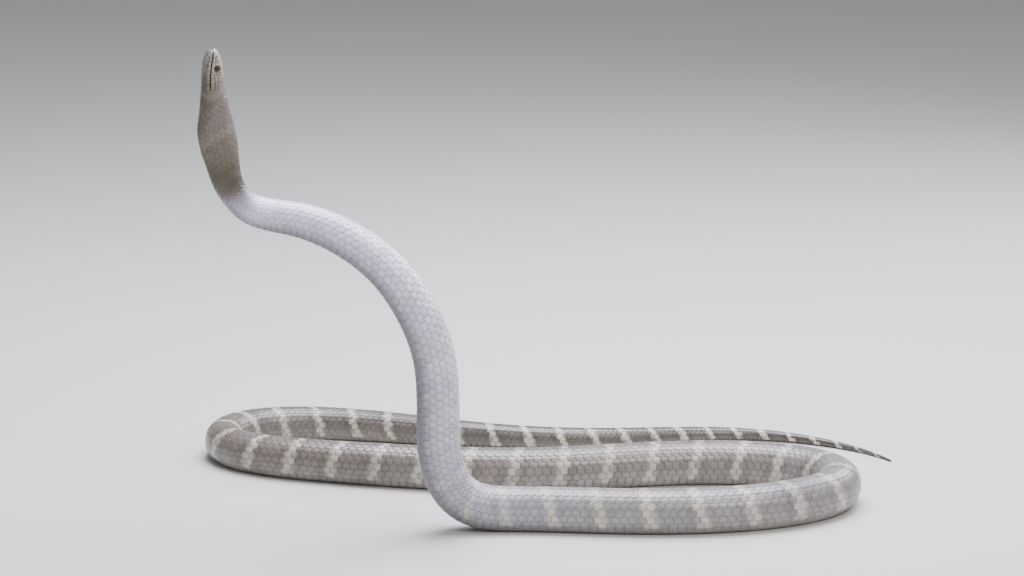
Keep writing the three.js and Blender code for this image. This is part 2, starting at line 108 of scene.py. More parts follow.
MOUTH_LINE = (
    (0, 7.2), (8, 7.3), (16, 7.1), (26, 7.4), (36, 8.4), (46, 10.4), (54, 12.6), (70, 14),
)
HOOD_DROOP = ((80, 0), (110, 2.5), (132, 4), (165, 2.5), (210, 0))
# Station and how far the skin lies inside the solids, to leave room for what lies on it.
SKIN_DEPTH = ((0, 0.85), (6, 0.65), (16, 0.4), (44, 0.4), (70, 0.6), (160, 0.7), (400, 0.95),
              (1700, 1.2), (2500, 1.2), (3100, 0.5), (3400, 0.3))


def smoothstep(low: float, high: float, value: np.ndarray) -> np.ndarray:
    """Rise smoothly from 0 at low to 1 at high."""
    share = np.clip((value - low) / (high - low), 0, 1)
    return share * share * (3 - 2 * share)


def bump(value: np.ndarray) -> np.ndarray:
    """A bell of height 1 about 0."""
    return np.exp(-(value ** 2))


class SmoothTable:
    """A monotone cubic through rows of (station, value, ...), level past both ends."""

    def __init__(self, rows: tuple) -> None:
        """Work out the slope at each row as the weighted harmonic mean of the slopes beside it.

        Args:
            rows: tuples of a station and one or more values, in order.
        """
        table = np.array(rows, float)
        self.stations = table[:, 0]
        self.values = table[:, 1:]
        step = np.diff(self.stations)[:, None]
        rise = np.diff(self.values, axis=0) / step
        before, after = rise[:-1], rise[1:]
        steady = before * after > 0
        near, far = 2 * step[1:] + step[:-1], step[1:] + 2 * step[:-1]
        safe_before = np.where(steady, before, 1)
        safe_after = np.where(steady, after, 1)
        mean = (near + far) / (near / safe_before + far / safe_after)
        self.slopes = np.vstack([rise[:1], np.where(steady, mean, 0), rise[-1:]])

    def __call__(self, stations: np.ndarray) -> np.ndarray:
        """Read the curves.

        Args:
            stations: millimetres from the snout, in any shape.

        Returns:
            The values, with one more axis than stations.
        """
        s = np.clip(stations, self.stations[0], self.stations[-1])
        row = np.clip(np.searchsorted(self.stations, s, side="right") - 1, 0, len(self.stations) - 2)
        step = (self.stations[row + 1] - self.stations[row])[..., None]
        t = (s - self.stations[row])[..., None] / step
        start, end = self.values[row], self.values[row + 1]
        leave, arrive = self.slopes[row] * step, self.slopes[row + 1] * step
        return ((2 * t ** 3 - 3 * t ** 2 + 1) * start + (t ** 3 - 2 * t ** 2 + t) * leave
                + (3 * t ** 2 - 2 * t ** 3) * end + (t ** 3 - t ** 2) * arrive)


class Frames(NamedTuple):
    """Origin and directions of cross-sections, in millimetres."""

    origin: np.ndarray
    forward: np.ndarray
    back: np.ndarray
    left: np.ndarray


class BellyLine:
    """The belly line: a uniform cubic B-spline over its guide points, measured from the snout."""

    SPAN_STEPS = 60
    TANGENT_REACH = 2.0

    def __init__(self, guides: tuple, back_faces: tuple) -> None:
        """Sample the spline and add up its length.

        Args:
            guides: guide points in millimetres, from the snout to the tail tip.
            back_faces: rows of a station and the direction that the back faces there.
        """
        p = np.array(guides, float)
        p = np.vstack([2 * p[0] - p[1], p, 2 * p[-1] - p[-2]])
        t = np.arange(self.SPAN_STEPS) / self.SPAN_STEPS
        weights = np.stack([(1 - t) ** 3, 3 * t ** 3 - 6 * t ** 2 + 4,
                            -3 * t ** 3 + 3 * t ** 2 + 3 * t + 1, t ** 3], axis=1) / 6
        self.points = np.vstack([weights @ p[i:i + 4] for i in range(len(p) - 3)])
        steps = np.linalg.norm(np.diff(self.points, axis=0), axis=1)
        self.distances = np.concatenate([[0], np.cumsum(steps)])
        self.back_faces = SmoothTable(back_faces)

    def point(self, stations: np.ndarray) -> np.ndarray:
        """Points of the line at stations."""
        return np.stack([np.interp(stations, self.distances, self.points[:, k]) for k in range(3)],
                        axis=-1)

    def frames(self, stations: np.ndarray) -> Frames:
        """Cross-section frames: forward to the snout, the back made square to it, and left.

        Args:
            stations: millimetres from the snout, in any shape.

        Returns:
            The frames, each array with one more axis than stations.
        """
        ahead = self.point(np.maximum(stations - self.TANGENT_REACH, 0))
        behind = self.point(stations + self.TANGENT_REACH)
        forward = unit(ahead - behind)
        faces = self.back_faces(stations)
        back = unit(faces - np.sum(faces * forward, axis=-1, keepdims=True) * forward)
        return Frames(self.point(stations), forward, back, np.cross(back, forward))


def unit(vectors: np.ndarray) -> np.ndarray:
    """Vectors scaled to length 1."""
    return vectors / np.linalg.norm(vectors, axis=-1, keepdims=True)


class Knoll(NamedTuple):
    """A soft swelling of the head, or a hollow: one bell along the head times one round it."""

    height: float
    station: float
    reach: float
    side: float
    spread: float

    def lift(self, s: np.ndarray, side: np.ndarray) -> np.ndarray:
        """Its height at stations and degrees from the back."""
        along = bump((s - self.station) / self.reach)
        return self.height * along * bump((side - self.side) / self.spread)


@dataclass(frozen=True)
class Relief:
    """The head's own modelling, in millimetres: where the eye, nostril and mouth corner lie."""

    BROW = Knoll(1.5, 19.5, 6, 50, 12)
    SNOUT_RIDGE = Knoll(0.6, 11, 5, 56, 9)
    SNOUT_HOLLOW = Knoll(-0.7, 12, 3.4, 84, 12)
    JAW_MUSCLE = Knoll(1.2, 53, 10, 84, 30)
    # Where the mouth closes, before and behind its corner.
    CLOSING = (-3, 0.6)
    # Stations over which the groove and the lips begin.
    GROOVE_START = (0.3, 1.0)
    LIP_START = (1, 5)
    # The lips' middle above and below the mouth's line, and their reach.
    LIP_MIDDLE, LIP_REACH = 2.6, 1.8
    # Half the socket's length and height, and the distances over which the two openings close.
    SOCKET_REACH = (4.6, 3.6)
    WELL_EDGE = (2.4, 3.8)
    PIT_EDGE = (0.3, 1.15)
    # Degrees from the back past which the socket and the openings lie.
    SOCKET_SIDE, OPENING_SIDE = 60, 40

    eye_station: float = 20
    eye_height: float = 15
    eye_out: float = 11.1
    eye_radius: float = 4.1
    nostril_station: float = 5.0
    nostril_height: float = 13.2
    nostril_radius: float = 1.0
    mouth_corner: float = 46.9
    lip_height: float = 0.75
    lip_fullness: float = 0.35
    groove_depth: float = 1.7
    groove_half_width: float = 0.42
    socket_depth: float = 1.3
    well_depth: float = 1.5
    nostril_depth: float = 1.9

    def mouth_open(self, s: np.ndarray) -> np.ndarray:
        """1 along the mouth, falling to 0 at its corner."""
        before, behind = self.CLOSING
        return 1 - smoothstep(self.mouth_corner + before, self.mouth_corner + behind, s)

    def from_nostril(self, s: np.ndarray, y: np.ndarray) -> np.ndarray:
        """Distance from the nostril's middle, on the side of the snout."""
        return np.hypot(s - self.nostril_station, y - self.nostril_height)

    def swelling(self, s: np.ndarray, side: np.ndarray, y: np.ndarray,
                 mouth: np.ndarray) -> np.ndarray:
        """How far the surface stands out: knolls and lips, less the mouth's groove and eye's socket.

        Args:
            s: stations.
            side: degrees from the back, without sign.
            y: heights above the belly line.
            mouth: height of the mouth's line at each station.

        Returns:
            Swellings in millimetres.
        """
        knolls = sum(knoll.lift(s, side) for knoll in
                     (self.BROW, self.SNOUT_RIDGE, self.SNOUT_HOLLOW, self.JAW_MUSCLE))
        open_end = self.mouth_open(s)
        groove = -self.groove_depth * bump((y - mouth) / self.groove_half_width) * open_end
        groove = groove * smoothstep(*self.GROOVE_START, s)
        lips = bump((np.abs(y - mouth) - self.LIP_MIDDLE) / self.LIP_REACH)
        lips = self.lip_fullness * lips * open_end * smoothstep(*self.LIP_START, s)
        long, tall = self.SOCKET_REACH
        socket = bump((s - self.eye_station) / long) * bump((y - self.eye_height) / tall)
        sunk = np.where(side > self.SOCKET_SIDE, -self.socket_depth * socket, 0)
        return knolls + groove + lips + sunk

    def openings(self, s: np.ndarray, side: np.ndarray, y: np.ndarray) -> np.ndarray:
        """How deep the skin sinks behind the eye and into the nostril, which plates leave open.

        Args:
            s: stations.
            side: degrees from the back, without sign.
            y: heights above the belly line.

        Returns:
            Depths in millimetres.
        """
        away = np.hypot(s - self.eye_station, y - self.eye_height)
        well = self.well_depth * (1 - smoothstep(*self.WELL_EDGE, away))
        pit = self.nostril_depth * (1 - smoothstep(*self.PIT_EDGE, self.from_nostril(s, y)))
        return np.where(side > self.OPENING_SIDE, well + pit, 0)


class BodySurface:
    """The snake's surface as a function of station and angle.

    A section is a superellipse: x = half * sin^p and y rises from its widest height by the top's or
    the belly's reach times cos^p, flat under the belly. Its size closes in at the snout.
    """

    SNOUT_ROUND = 10.0
    SNOUT_BLUNTNESS = 2.5
    SNOUT_MIDDLE = 9.0
    TAIL_ROUND = 4.0
    TAIL_MIDDLE = 1.5
    BELLY_FLATNESS = 1.12
    FRONT_STATION = 1.5
    FRONT_ROUNDS = 24

    def __init__(self) -> None:
        """Make the curves from the tables above."""
        self.line = BellyLine(BELLY_LINE, BACK_FACES)
        self.girth = SmoothTable(GIRTH)
        self.chin = SmoothTable(CHIN_RISE)
        self.mouth = SmoothTable(MOUTH_LINE)
        self.droop = SmoothTable(HOOD_DROOP)
        self.depth = SmoothTable(SKIN_DEPTH)
        self.relief = Relief()

    def sizes(self, s: np.ndarray) -> tuple:
        """Measures of the sections.

        Args:
            s: stations.

        Returns:
            Half width, top, bottom, widest height, power, and how far the snout's end is open.
        """
        width, top, squareness, widest = np.moveaxis(self.girth(s), -1, 0)
        bottom = self.chin(s)[..., 0]
        tip = np.clip(1 - s / self.SNOUT_ROUND, 0, 1)
        closing = (1 - tip ** self.SNOUT_BLUNTNESS) ** (1 / self.SNOUT_BLUNTNESS)
        return width / 2, top, bottom, bottom + (top - bottom) * widest, 2 / squareness, closing

    def section(self, s: np.ndarray, turn: np.ndarray) -> tuple:
        """Bare section points and their outward directions.

        Args:
            s: stations.
            turn: angles in radians.

        Returns:
            x, y, outward x and outward y.
        """
        half, top, bottom, middle, power, closing = self.sizes(s)
        sin, cos = np.sin(turn), np.cos(turn)
        across = np.sign(sin) * np.abs(sin) ** power
        upward = np.abs(cos) ** power
        reach = np.where(cos >= 0, top - middle, middle - bottom)
        below = middle - reach * np.minimum(1, self.BELLY_FLATNESS * upward)
        y = np.where(cos >= 0, middle + reach * upward, below)
        y = y - self.droop(s)[..., 0] * across ** 2
        past = np.clip((s - LENGTH) / self.TAIL_ROUND + 1, 0, 1)
        shut = closing * np.sqrt(1 - past ** 2)
        middle_line = np.where(s < self.SNOUT_ROUND, self.SNOUT_MIDDLE, self.TAIL_MIDDLE)
        y = middle_line + (y - middle_line) * shut
        out = unit(np.stack([sin / half, cos / reach], axis=-1))
        return half * across * shut, y, out[..., 0], out[..., 1]

    def point(self, s: np.ndarray, turn: np.ndarray, raised: np.ndarray,
              opened: bool = False) -> np.ndarray:
        """Places on the surface in metres.

        Args:
            s: stations.
            turn: angles in radians.
            raised: millimetres above the solids' surface, along the section's outward direction.
            opened: whether the surface sinks into the nostrils and behind the eyes.

        Returns:
            Points, with one more axis than s.
        """
        s, turn, raised = np.broadcast_arrays(s, turn, raised)
        at = np.maximum(s, 0)
        x, y, out_x, out_y = self.section(at, turn)
        side = np.degrees(np.abs(np.arctan2(np.sin(turn), np.cos(turn))))
        swell = self.relief.swelling(at, side, y, self.mouth(at)[..., 0])
        if opened:
            swell = swell - self.relief.openings(at, side, y)
        lift = raised + np.where(at < HEAD_END, swell, 0)
        frames = self.line.frames(at)
        x, y = (x + out_x * lift)[..., None], (y + out_y * lift)[..., None]
        return (frames.origin + frames.left * x + frames.back * y) * MM

    def turn_at_height(self, s: np.ndarray, height: np.ndarray) -> np.ndarray:
        """Find where the section's side has a height, by the section's formula turned round.

        Args:
            s: stations.
            height: millimetres above the belly line.

        Returns:
            Angles in radians, between 0 and a half turn.
        """
        _, top, bottom, middle, power, closing = self.sizes(s)
        level = self.SNOUT_MIDDLE + (height - self.SNOUT_MIDDLE) / np.maximum(closing, 0.05)
        above = level >= middle
        reach = np.where(above, top - middle, (middle - bottom) * self.BELLY_FLATNESS)
        turn = np.arccos(np.minimum(1, np.abs(level - middle) / reach) ** (1 / power))
        return np.where(above, turn, math.pi - turn)

    def turn_at_reach(self, s: np.ndarray, x: np.ndarray) -> np.ndarray:
        """Find where the section's upper half has a distance from the middle.

        Args:
            s: stations.
            x: millimetres to the left of the middle.

        Returns:
            Angles in radians, of the same sign as x.
        """
        half, _, _, _, power, closing = self.sizes(s)
        share = np.minimum(1, np.abs(x) / (half * closing)) ** (1 / power)
        return np.sign(x) * np.arcsin(share)

    def full_section(self, s: np.ndarray, turn: np.ndarray) -> tuple:
        """Section points as they would be if the snout did not close in.

        Args:
            s: stations.
            turn: angles in radians.

        Returns:
            Distances to the left, and heights above the snout's middle.
        """
        half, top, bottom, middle, power, _ = self.sizes(s)
        sin, cos = np.sin(turn), np.cos(turn)
        across = half * np.sign(sin) * np.abs(sin) ** power
        reach = np.where(cos >= 0, top - middle, -self.BELLY_FLATNESS * (middle - bottom))
        up = np.maximum(middle + reach * np.abs(cos) ** power, bottom) - self.SNOUT_MIDDLE
        return across, up

    def from_front(self, x: np.ndarray, height: np.ndarray) -> tuple:
        """Find points of the snout seen from the front.

        The angle is read from a table of directions about the snout's middle. The station follows
        from how far out the point lies, by the closing formula turned round, in rounds that each go
        half of the way.

        Args:
            x: millimetres to the left of the middle.
            height: millimetres above the belly line.

        Returns:
            Stations, and angles in radians.
        """
        table = np.radians(np.linspace(-180, 180, 721))
        across, up = self.full_section(np.full_like(table, self.FRONT_STATION), table)
        heading = np.unwrap(np.arctan2(across, up))
        turn = np.interp(np.arctan2(x, height - self.SNOUT_MIDDLE), heading, table)
        distance = np.hypot(x, height - self.SNOUT_MIDDLE)
        station = np.full_like(distance, self.FRONT_STATION)
        for _ in range(self.FRONT_ROUNDS):
            across, up = self.full_section(station, turn)
            closing = np.clip(distance / np.hypot(across, up), 0, 0.98)
            tip = (1 - closing ** self.SNOUT_BLUNTNESS) ** (1 / self.SNOUT_BLUNTNESS)
            station = (station + self.SNOUT_ROUND * (1 - tip)) / 2
        return station, turn


class MeshParts(NamedTuple):
    """Vertices, quads and triangles of one mesh."""

    vertices: np.ndarray
    quads: np.ndarray
    triangles: np.ndarray


def build_mesh(name: str, parts: MeshParts, values: dict, uv: np.ndarray) -> bpy.types.Object:
    """Put arrays into a smooth-shaded mesh object at the origin.

    Args:
        name: the piece's name.
        parts: vertices in metres, and faces.
        values: attribute name to one number per vertex.
        uv: one pair per face corner, quads first.

    Returns:
        The object, linked to the scene.
    """
    mesh = bpy.data.meshes.new(name)
    corners = np.concatenate([parts.quads.ravel(), parts.triangles.ravel()]).astype(np.int32)
    sizes = np.concatenate([np.full(len(parts.quads), 4), np.full(len(parts.triangles), 3)])
    starts = np.concatenate([[0], np.cumsum(sizes)[:-1]]).astype(np.int32)
    mesh.vertices.add(len(parts.vertices))
    mesh.vertices.foreach_set("co", parts.vertices.astype(np.float32).ravel())
    mesh.loops.add(len(corners))
    mesh.loops.foreach_set("vertex_index", corners)
    mesh.polygons.add(len(sizes))
    mesh.polygons.foreach_set("loop_start", starts)
    mesh.update(calc_edges=True)
    mesh.polygons.foreach_set("use_smooth", np.ones(len(sizes), bool))
    layer = mesh.uv_layers.new(name="OFBake")
    layer.data.foreach_set("uv", uv.astype(np.float32).ravel())
    for key, numbers in values.items():
        attribute = mesh.attributes.new(key, "FLOAT", "POINT")
        attribute.data.foreach_set("value", numbers.astype(np.float32).ravel())
    mesh.validate()
    piece = bpy.data.objects.new(name, mesh)
    bpy.context.scene.collection.objects.link(piece)
    return piece


def tube_faces(rings: int, count: int) -> tuple:
    """Faces of a closed tube of rings, whose two tips are its last two points.

    Args:
        rings: the number of rings.
        count: the number of points in each.

    Returns:
        Quads and triangles as index arrays.
    """
    j = np.arange(count)
    k = (j + 1) % count
    rows = np.arange(rings - 1)[:, None] * count
    quads = np.stack([rows + j, rows + k, rows + count + k, rows + count + j], axis=-1)
    last = (rings - 1) * count
    front = np.stack([np.full_like(j, rings * count), k, j], axis=-1)
    rear = np.stack([np.full_like(j, rings * count + 1), last + j, last + k], axis=-1)
    return quads.reshape(-1, 4), np.concatenate([front, rear])


def turned_over(faces: np.ndarray) -> np.ndarray:
    """Faces that look the other way, from the same first corners."""
    return np.roll(faces[:, ::-1], 1, axis=1)


def finish_piece(piece: bpy.types.Object, material: bpy.types.Material) -> None:
    """Give a piece its material and slot, set it riding and report it.

    Args:
        piece: a mesh object.
        material: its only material.
    """
    piece.data.materials.append(material)
    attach(piece, "root")
    triangles = len(piece.data.loops) - 2 * len(piece.data.polygons)
    LOG.info("%s: %d triangles", piece.name, triangles)


class Markings:
    """Pale narrow bands across the back, closer together towards the tail."""

    SPACING = ((0, 52), (250, 58), (900, 64), (2300, 60), (2720, 50), (3400, 34))
    STRENGTH = ((0, 0), (92, 0), (120, 0.06), (150, 0.03), (230, 0.03), (280, 0.14), (700, 0.26),
                (1000, 0.5), (2600, 0.58), (2900, 0.75), (3400, 0.8))
    FIRST = 118.0
    CHEVRON = 10.0
    # As shares of the spacing: half a band's width, and how much wider it gets towards the belly.
    HALF_WIDTH = 0.1
    WIDENING = 0.35
    # As shares of half a band's width: its soft edge, and its dark border's middle and reach.
    SOFT_EDGE = (0.6, 1.3)
    BORDER_MIDDLE, BORDER_REACH = 1.9, 0.55
    # As shares of the half turn from back to belly: where the bands begin to fade, and are gone.
    FADE = (0.66, 0.76)
    BORDER_DARKNESS = 0.6

    def __init__(self) -> None:
        """Add up the bands that have passed at each station."""
        self.strength = SmoothTable(self.STRENGTH)
        self.grid = np.arange(0, LENGTH + 1)
        self.passed = np.cumsum(1 / SmoothTable(self.SPACING)(self.grid)[:, 0])
        self.passed -= np.interp(self.FIRST, self.grid, self.passed)

    def band(self, s: np.ndarray, turn: np.ndarray) -> np.ndarray:
        """How pale the band makes each place.

        A place is shifted back by its distance from the middle of the back, so a band points forward,
        and its share of the way to the next band is read from the table of bands passed.

        Args:
            s: stations.
            turn: angles in radians.

        Returns:
            Up to 1 in a band, 0 between bands and below 0 in the darker border beside one.
        """
        away = np.abs(np.arctan2(np.sin(turn), np.cos(turn))) / math.pi
        point = np.interp(s - self.CHEVRON * away * 2, self.grid, self.passed)
        off = np.abs((point + 0.5) % 1 - 0.5)
        wide = self.HALF_WIDTH * (1 + self.WIDENING * away)
        fades = 1 - smoothstep(*self.FADE, away)
        inner, outer = self.SOFT_EDGE
        pale = 1 - smoothstep(wide * inner, wide * outer, off)
        beside = bump((off - wide * self.BORDER_MIDDLE) / (wide * self.BORDER_REACH))
        return self.strength(s)[..., 0] * (pale - self.BORDER_DARKNESS * beside) * fades


@dataclass(frozen=True)
class PlateGrid:
    """How finely a plate is drawn: its rings from the middle to the rim, and points round each."""

    radii: tuple
    points: int

    def faces(self, count: int) -> tuple:
        """Quads and triangles of many plates: middle fan, rings, wall down to the foot, closing fan.

        Args:
            count: the number of plates.

        Returns:
            Quads and triangles as index arrays.
        """
        n, rings = self.points, len(self.radii) + 1
        j = np.arange(n)
        k = (j + 1) % n
        rows = np.arange(rings - 1)[:, None] * n + 1
        quads = np.stack([rows + k, rows + n + k, rows + n + j, rows + j], axis=-1).reshape(-1, 4)
        last = 1 + (rings - 1) * n
        foot = last + n
        top = np.stack([1 + k, 1 + j, np.zeros_like(j)], axis=-1)
        under = np.stack([last + j, last + k, np.full_like(j, foot)], axis=-1)
        stride = (foot + 1) * np.arange(count)[:, None, None]
        every_quad = (quads[None] + stride).reshape(-1, 4)
        every_triangle = (np.concatenate([top, under])[None] + stride).reshape(-1, 3)
        return every_quad, every_triangle


class Plates(NamedTuple):
    """Many plates of one grid in body coordinates: arrays of (plate, point)."""

    stations: np.ndarray
    turns: np.ndarray
    raised: np.ndarray
    edge: np.ndarray
    uv: np.ndarray


def make_plates(name: str, plates: Plates, grid: PlateGrid, surface: BodySurface,
                values: dict) -> bpy.types.Object:
    """Build many plates as one mesh.

    Args:
        name: the piece's name.
        plates: body coordinates of every point, in the order of the grid's faces.
        grid: the plates' grid.
        surface: the body's surface.
        values: attribute name to one number per plate, or one per point.

    Returns:
        The mesh object.
    """
    count, size = plates.stations.shape
    points = surface.point(plates.stations, plates.turns, plates.raised).reshape(-1, 3)
    quads, triangles = grid.faces(count)
    body = body_values(plates.stations.ravel(), plates.turns.ravel())
    body["edge"] = plates.edge.ravel()
    for key, numbers in values.items():
        body[key] = np.repeat(numbers, size) if numbers.ndim == 1 else numbers.ravel()
    corners = np.concatenate([quads.ravel(), triangles.ravel()])
    uv = plates.uv.reshape(-1, 2)[corners]
    return build_mesh(name, MeshParts(points, quads, triangles), body, uv)


def body_values(s: np.ndarray, turn: np.ndarray) -> dict:
    """The share of the length and of the half turn from back to belly, which the materials read."""
    away = np.abs(np.arctan2(np.sin(turn), np.cos(turn))) / math.pi
    return {"station": s / LENGTH, "away": away}


class Skin:
    """One closed skin from the snout to the tail tip, finer on the head and along the mouth."""

    COLUMNS = 112
    ABOVE_LIP = 33
    ACROSS_LIP = 8
    # How far the columns across the lips spread, and the angles that they keep to.
    LIP_SPREAD = 1.3
    LOWEST_UPPER = math.radians(150)
    LOWEST_LOWER = math.radians(168)
    LEAST_LIPS = math.radians(6)
    # Stations between which the gathered columns turn into even ones.
    EVENING = (50, 80)
    HEAD_STEP = 0.8
    NECK_STEP = 2.5
    BODY_STEP = 6.0
    NECK_END = 262.0
    # Rings on the two rounded ends, as shares of their reach, and the stations of the nose's.
    SNOUT_RINGS = (0.004, 0.014, 0.03, 0.055, 0.09, 0.13, 0.18, 0.24)
    TIP_RINGS = (1.2, 0.9, 0.65, 0.42, 0.24, 0.11, 0.04, 0.01)
    NOSE = (2.9, 8.0)
    HEAD_START = 8.2
    # Painted shade in the mouth's slit and the nostrils: half the height of the slit's dark line, how
    # far it runs on behind, and the edge of each nostril's dark spot.
    SLIT_SHADE_HEIGHT = 0.6
    SLIT_SHADE_RUN = 1.6
    NOSTRIL_SHADE_EDGE = (0.4, 1.1)
    UV_STRIPS = 10
    TIP_UV = ((0.01, 0.005), (0.012, 0.005), (0.012, 0.008))

    def __init__(self, surface: BodySurface, markings: Markings) -> None:
        """Keep what the skin is worked out from."""
        self.surface = surface
        self.markings = markings

    def stations(self) -> np.ndarray:
        """Space the rings, close together at the snout, along the head and at the tail tip.

        Returns:
            Stations in order.
        """
        snout = self.surface.SNOUT_ROUND * np.array(self.SNOUT_RINGS)
        nose = np.arange(*self.NOSE, self.HEAD_STEP / 2)
        head = np.arange(self.HEAD_START, HEAD_END + 6, self.HEAD_STEP)
        neck = np.arange(head[-1] + self.NECK_STEP, self.NECK_END, self.NECK_STEP)
        body = np.arange(neck[-1] + self.BODY_STEP, LENGTH - 7, self.BODY_STEP)
        tail = LENGTH - self.surface.TAIL_ROUND * np.array(self.TIP_RINGS)
        return np.concatenate([snout, nose, head, neck, body, tail])

    def turns(self, s: np.ndarray) -> np.ndarray:
        """Angles of each ring's columns, gathered along the mouth and even behind it.

        On one side the columns run from the back to just above the mouth's line, across the lips,
        and on to the belly. Behind the mouth they blend into equal steps.

        Args:
            s: stations of the rings.

        Returns:
            Angles in radians, in arrays of (ring, column).
        """
        half = self.COLUMNS // 2
        mouth = self.surface.mouth(s)[:, 0]
        tall = self.surface.relief.lip_height * self.LIP_SPREAD
        upper = np.minimum(self.surface.turn_at_height(s, mouth + tall), self.LOWEST_UPPER)
        lower = np.maximum(self.surface.turn_at_height(s, mouth - tall), upper + self.LEAST_LIPS)
        lower = np.minimum(lower, self.LOWEST_LOWER)
        marks = [0, self.ABOVE_LIP, self.ABOVE_LIP + self.ACROSS_LIP, half]
        column = np.arange(half + 1)
        rows = np.stack([np.zeros_like(s), upper, lower, np.full_like(s, math.pi)], axis=1)
        gathered = np.stack([np.interp(column, marks, row) for row in rows])
        even = np.linspace(0, math.pi, half + 1)[None]
        blend = smoothstep(*self.EVENING, s)[:, None]
        left = gathered * (1 - blend) + even * blend
        return np.concatenate([left, -left[:, -2:0:-1]], axis=1)

    def strip_uv(self, s: np.ndarray, columns: int) -> np.ndarray:
        """Unwrap the tube into strips laid one above the other, each a tenth of the length.

        Args:
            s: stations of the rings.
            columns: the number of quads round each ring.

        Returns:
            A pair for each corner of each quad.
        """
        middle = (s[:-1] + s[1:]) / 2
        strip = np.floor(middle / LENGTH * self.UV_STRIPS)
        ring = np.stack([s[:-1], s[:-1], s[1:], s[1:]], axis=1)
        u = ring / LENGTH * self.UV_STRIPS - strip[:, None]
        step = np.arange(columns)
        v = np.stack([step, step + 1, step + 1, step], axis=1) / columns
        both_u = np.broadcast_to(u[:, None, :], (len(middle), columns, 4)) * UV_SHARE + UV_MARGIN
        rows = (strip[:, None, None] + UV_MARGIN + v[None] * UV_SHARE) / self.UV_STRIPS
        return np.stack([both_u, rows], axis=-1).reshape(-1, 2)

    def values(self, stations: np.ndarray, turn: np.ndarray) -> dict:
        """The numbers that the skin's material reads.

        Args:
            stations: stations of the rings' points.
            turn: their angles in radians.

        Returns:
            Attribute name to one number per point: rings first, then the two tips.
        """
        relief = self.surface.relief
        mouth = self.surface.mouth(stations)[..., 0]
        _, y, _, _ = self.surface.section(stations, turn)
        # Painted shade: a dark line along the mouth's slit and a dark spot in each nostril, where shade
        # falls.
        lips = bump((y - mouth) / self.SLIT_SHADE_HEIGHT) * relief.mouth_open(stations - self.SLIT_SHADE_RUN)
        nostrils = 1 - smoothstep(*self.NOSTRIL_SHADE_EDGE, relief.from_nostril(stations, y))
        values = body_values(stations.ravel(), turn.ravel())
        values["band"] = self.markings.band(stations, turn).ravel()
        values["mouth"] = np.maximum(lips, nostrils).ravel()
        return {key: np.append(numbers, [numbers[0], numbers[-1]]) for key, numbers in values.items()}

    def build(self, material: bpy.types.Material) -> bpy.types.Object:
        """Make the skin and let it replace every node of flesh.

        Args:
            material: the skin's material.

        Returns:
            The skin.
        """
        s = self.stations()
        turn = self.turns(s)
        stations = np.broadcast_to(s[:, None], turn.shape)
        raised = -self.surface.depth(stations)[..., 0]
        rings = self.surface.point(stations, turn, raised, opened=True).reshape(-1, 3)
        tips = self.surface.line.frames(np.array([0.0, LENGTH]))
        heights = np.array([[self.surface.SNOUT_MIDDLE], [self.surface.TAIL_MIDDLE]])
        ends = (tips.origin + tips.back * heights) * MM
        count = turn.shape[1]
        parts = MeshParts(np.vstack([rings, ends]), *tube_faces(len(s), count))
        uv = np.vstack([self.strip_uv(s, count), np.tile(self.TIP_UV, (count * 2, 1))])
        skin = build_mesh("skin", parts, self.values(stations, turn), uv)
        finish_piece(skin, material)
        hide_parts(*FLESH_NODES)
        return skin


COMMON_PITCH = 10.5
RELIEF_POWER = 0.8


def relief_size(pitch: np.ndarray) -> np.ndarray:
    """How tall the relief of scales of a pitch is, against that of scales of the common pitch."""
    return (pitch / COMMON_PITCH) ** RELIEF_POWER


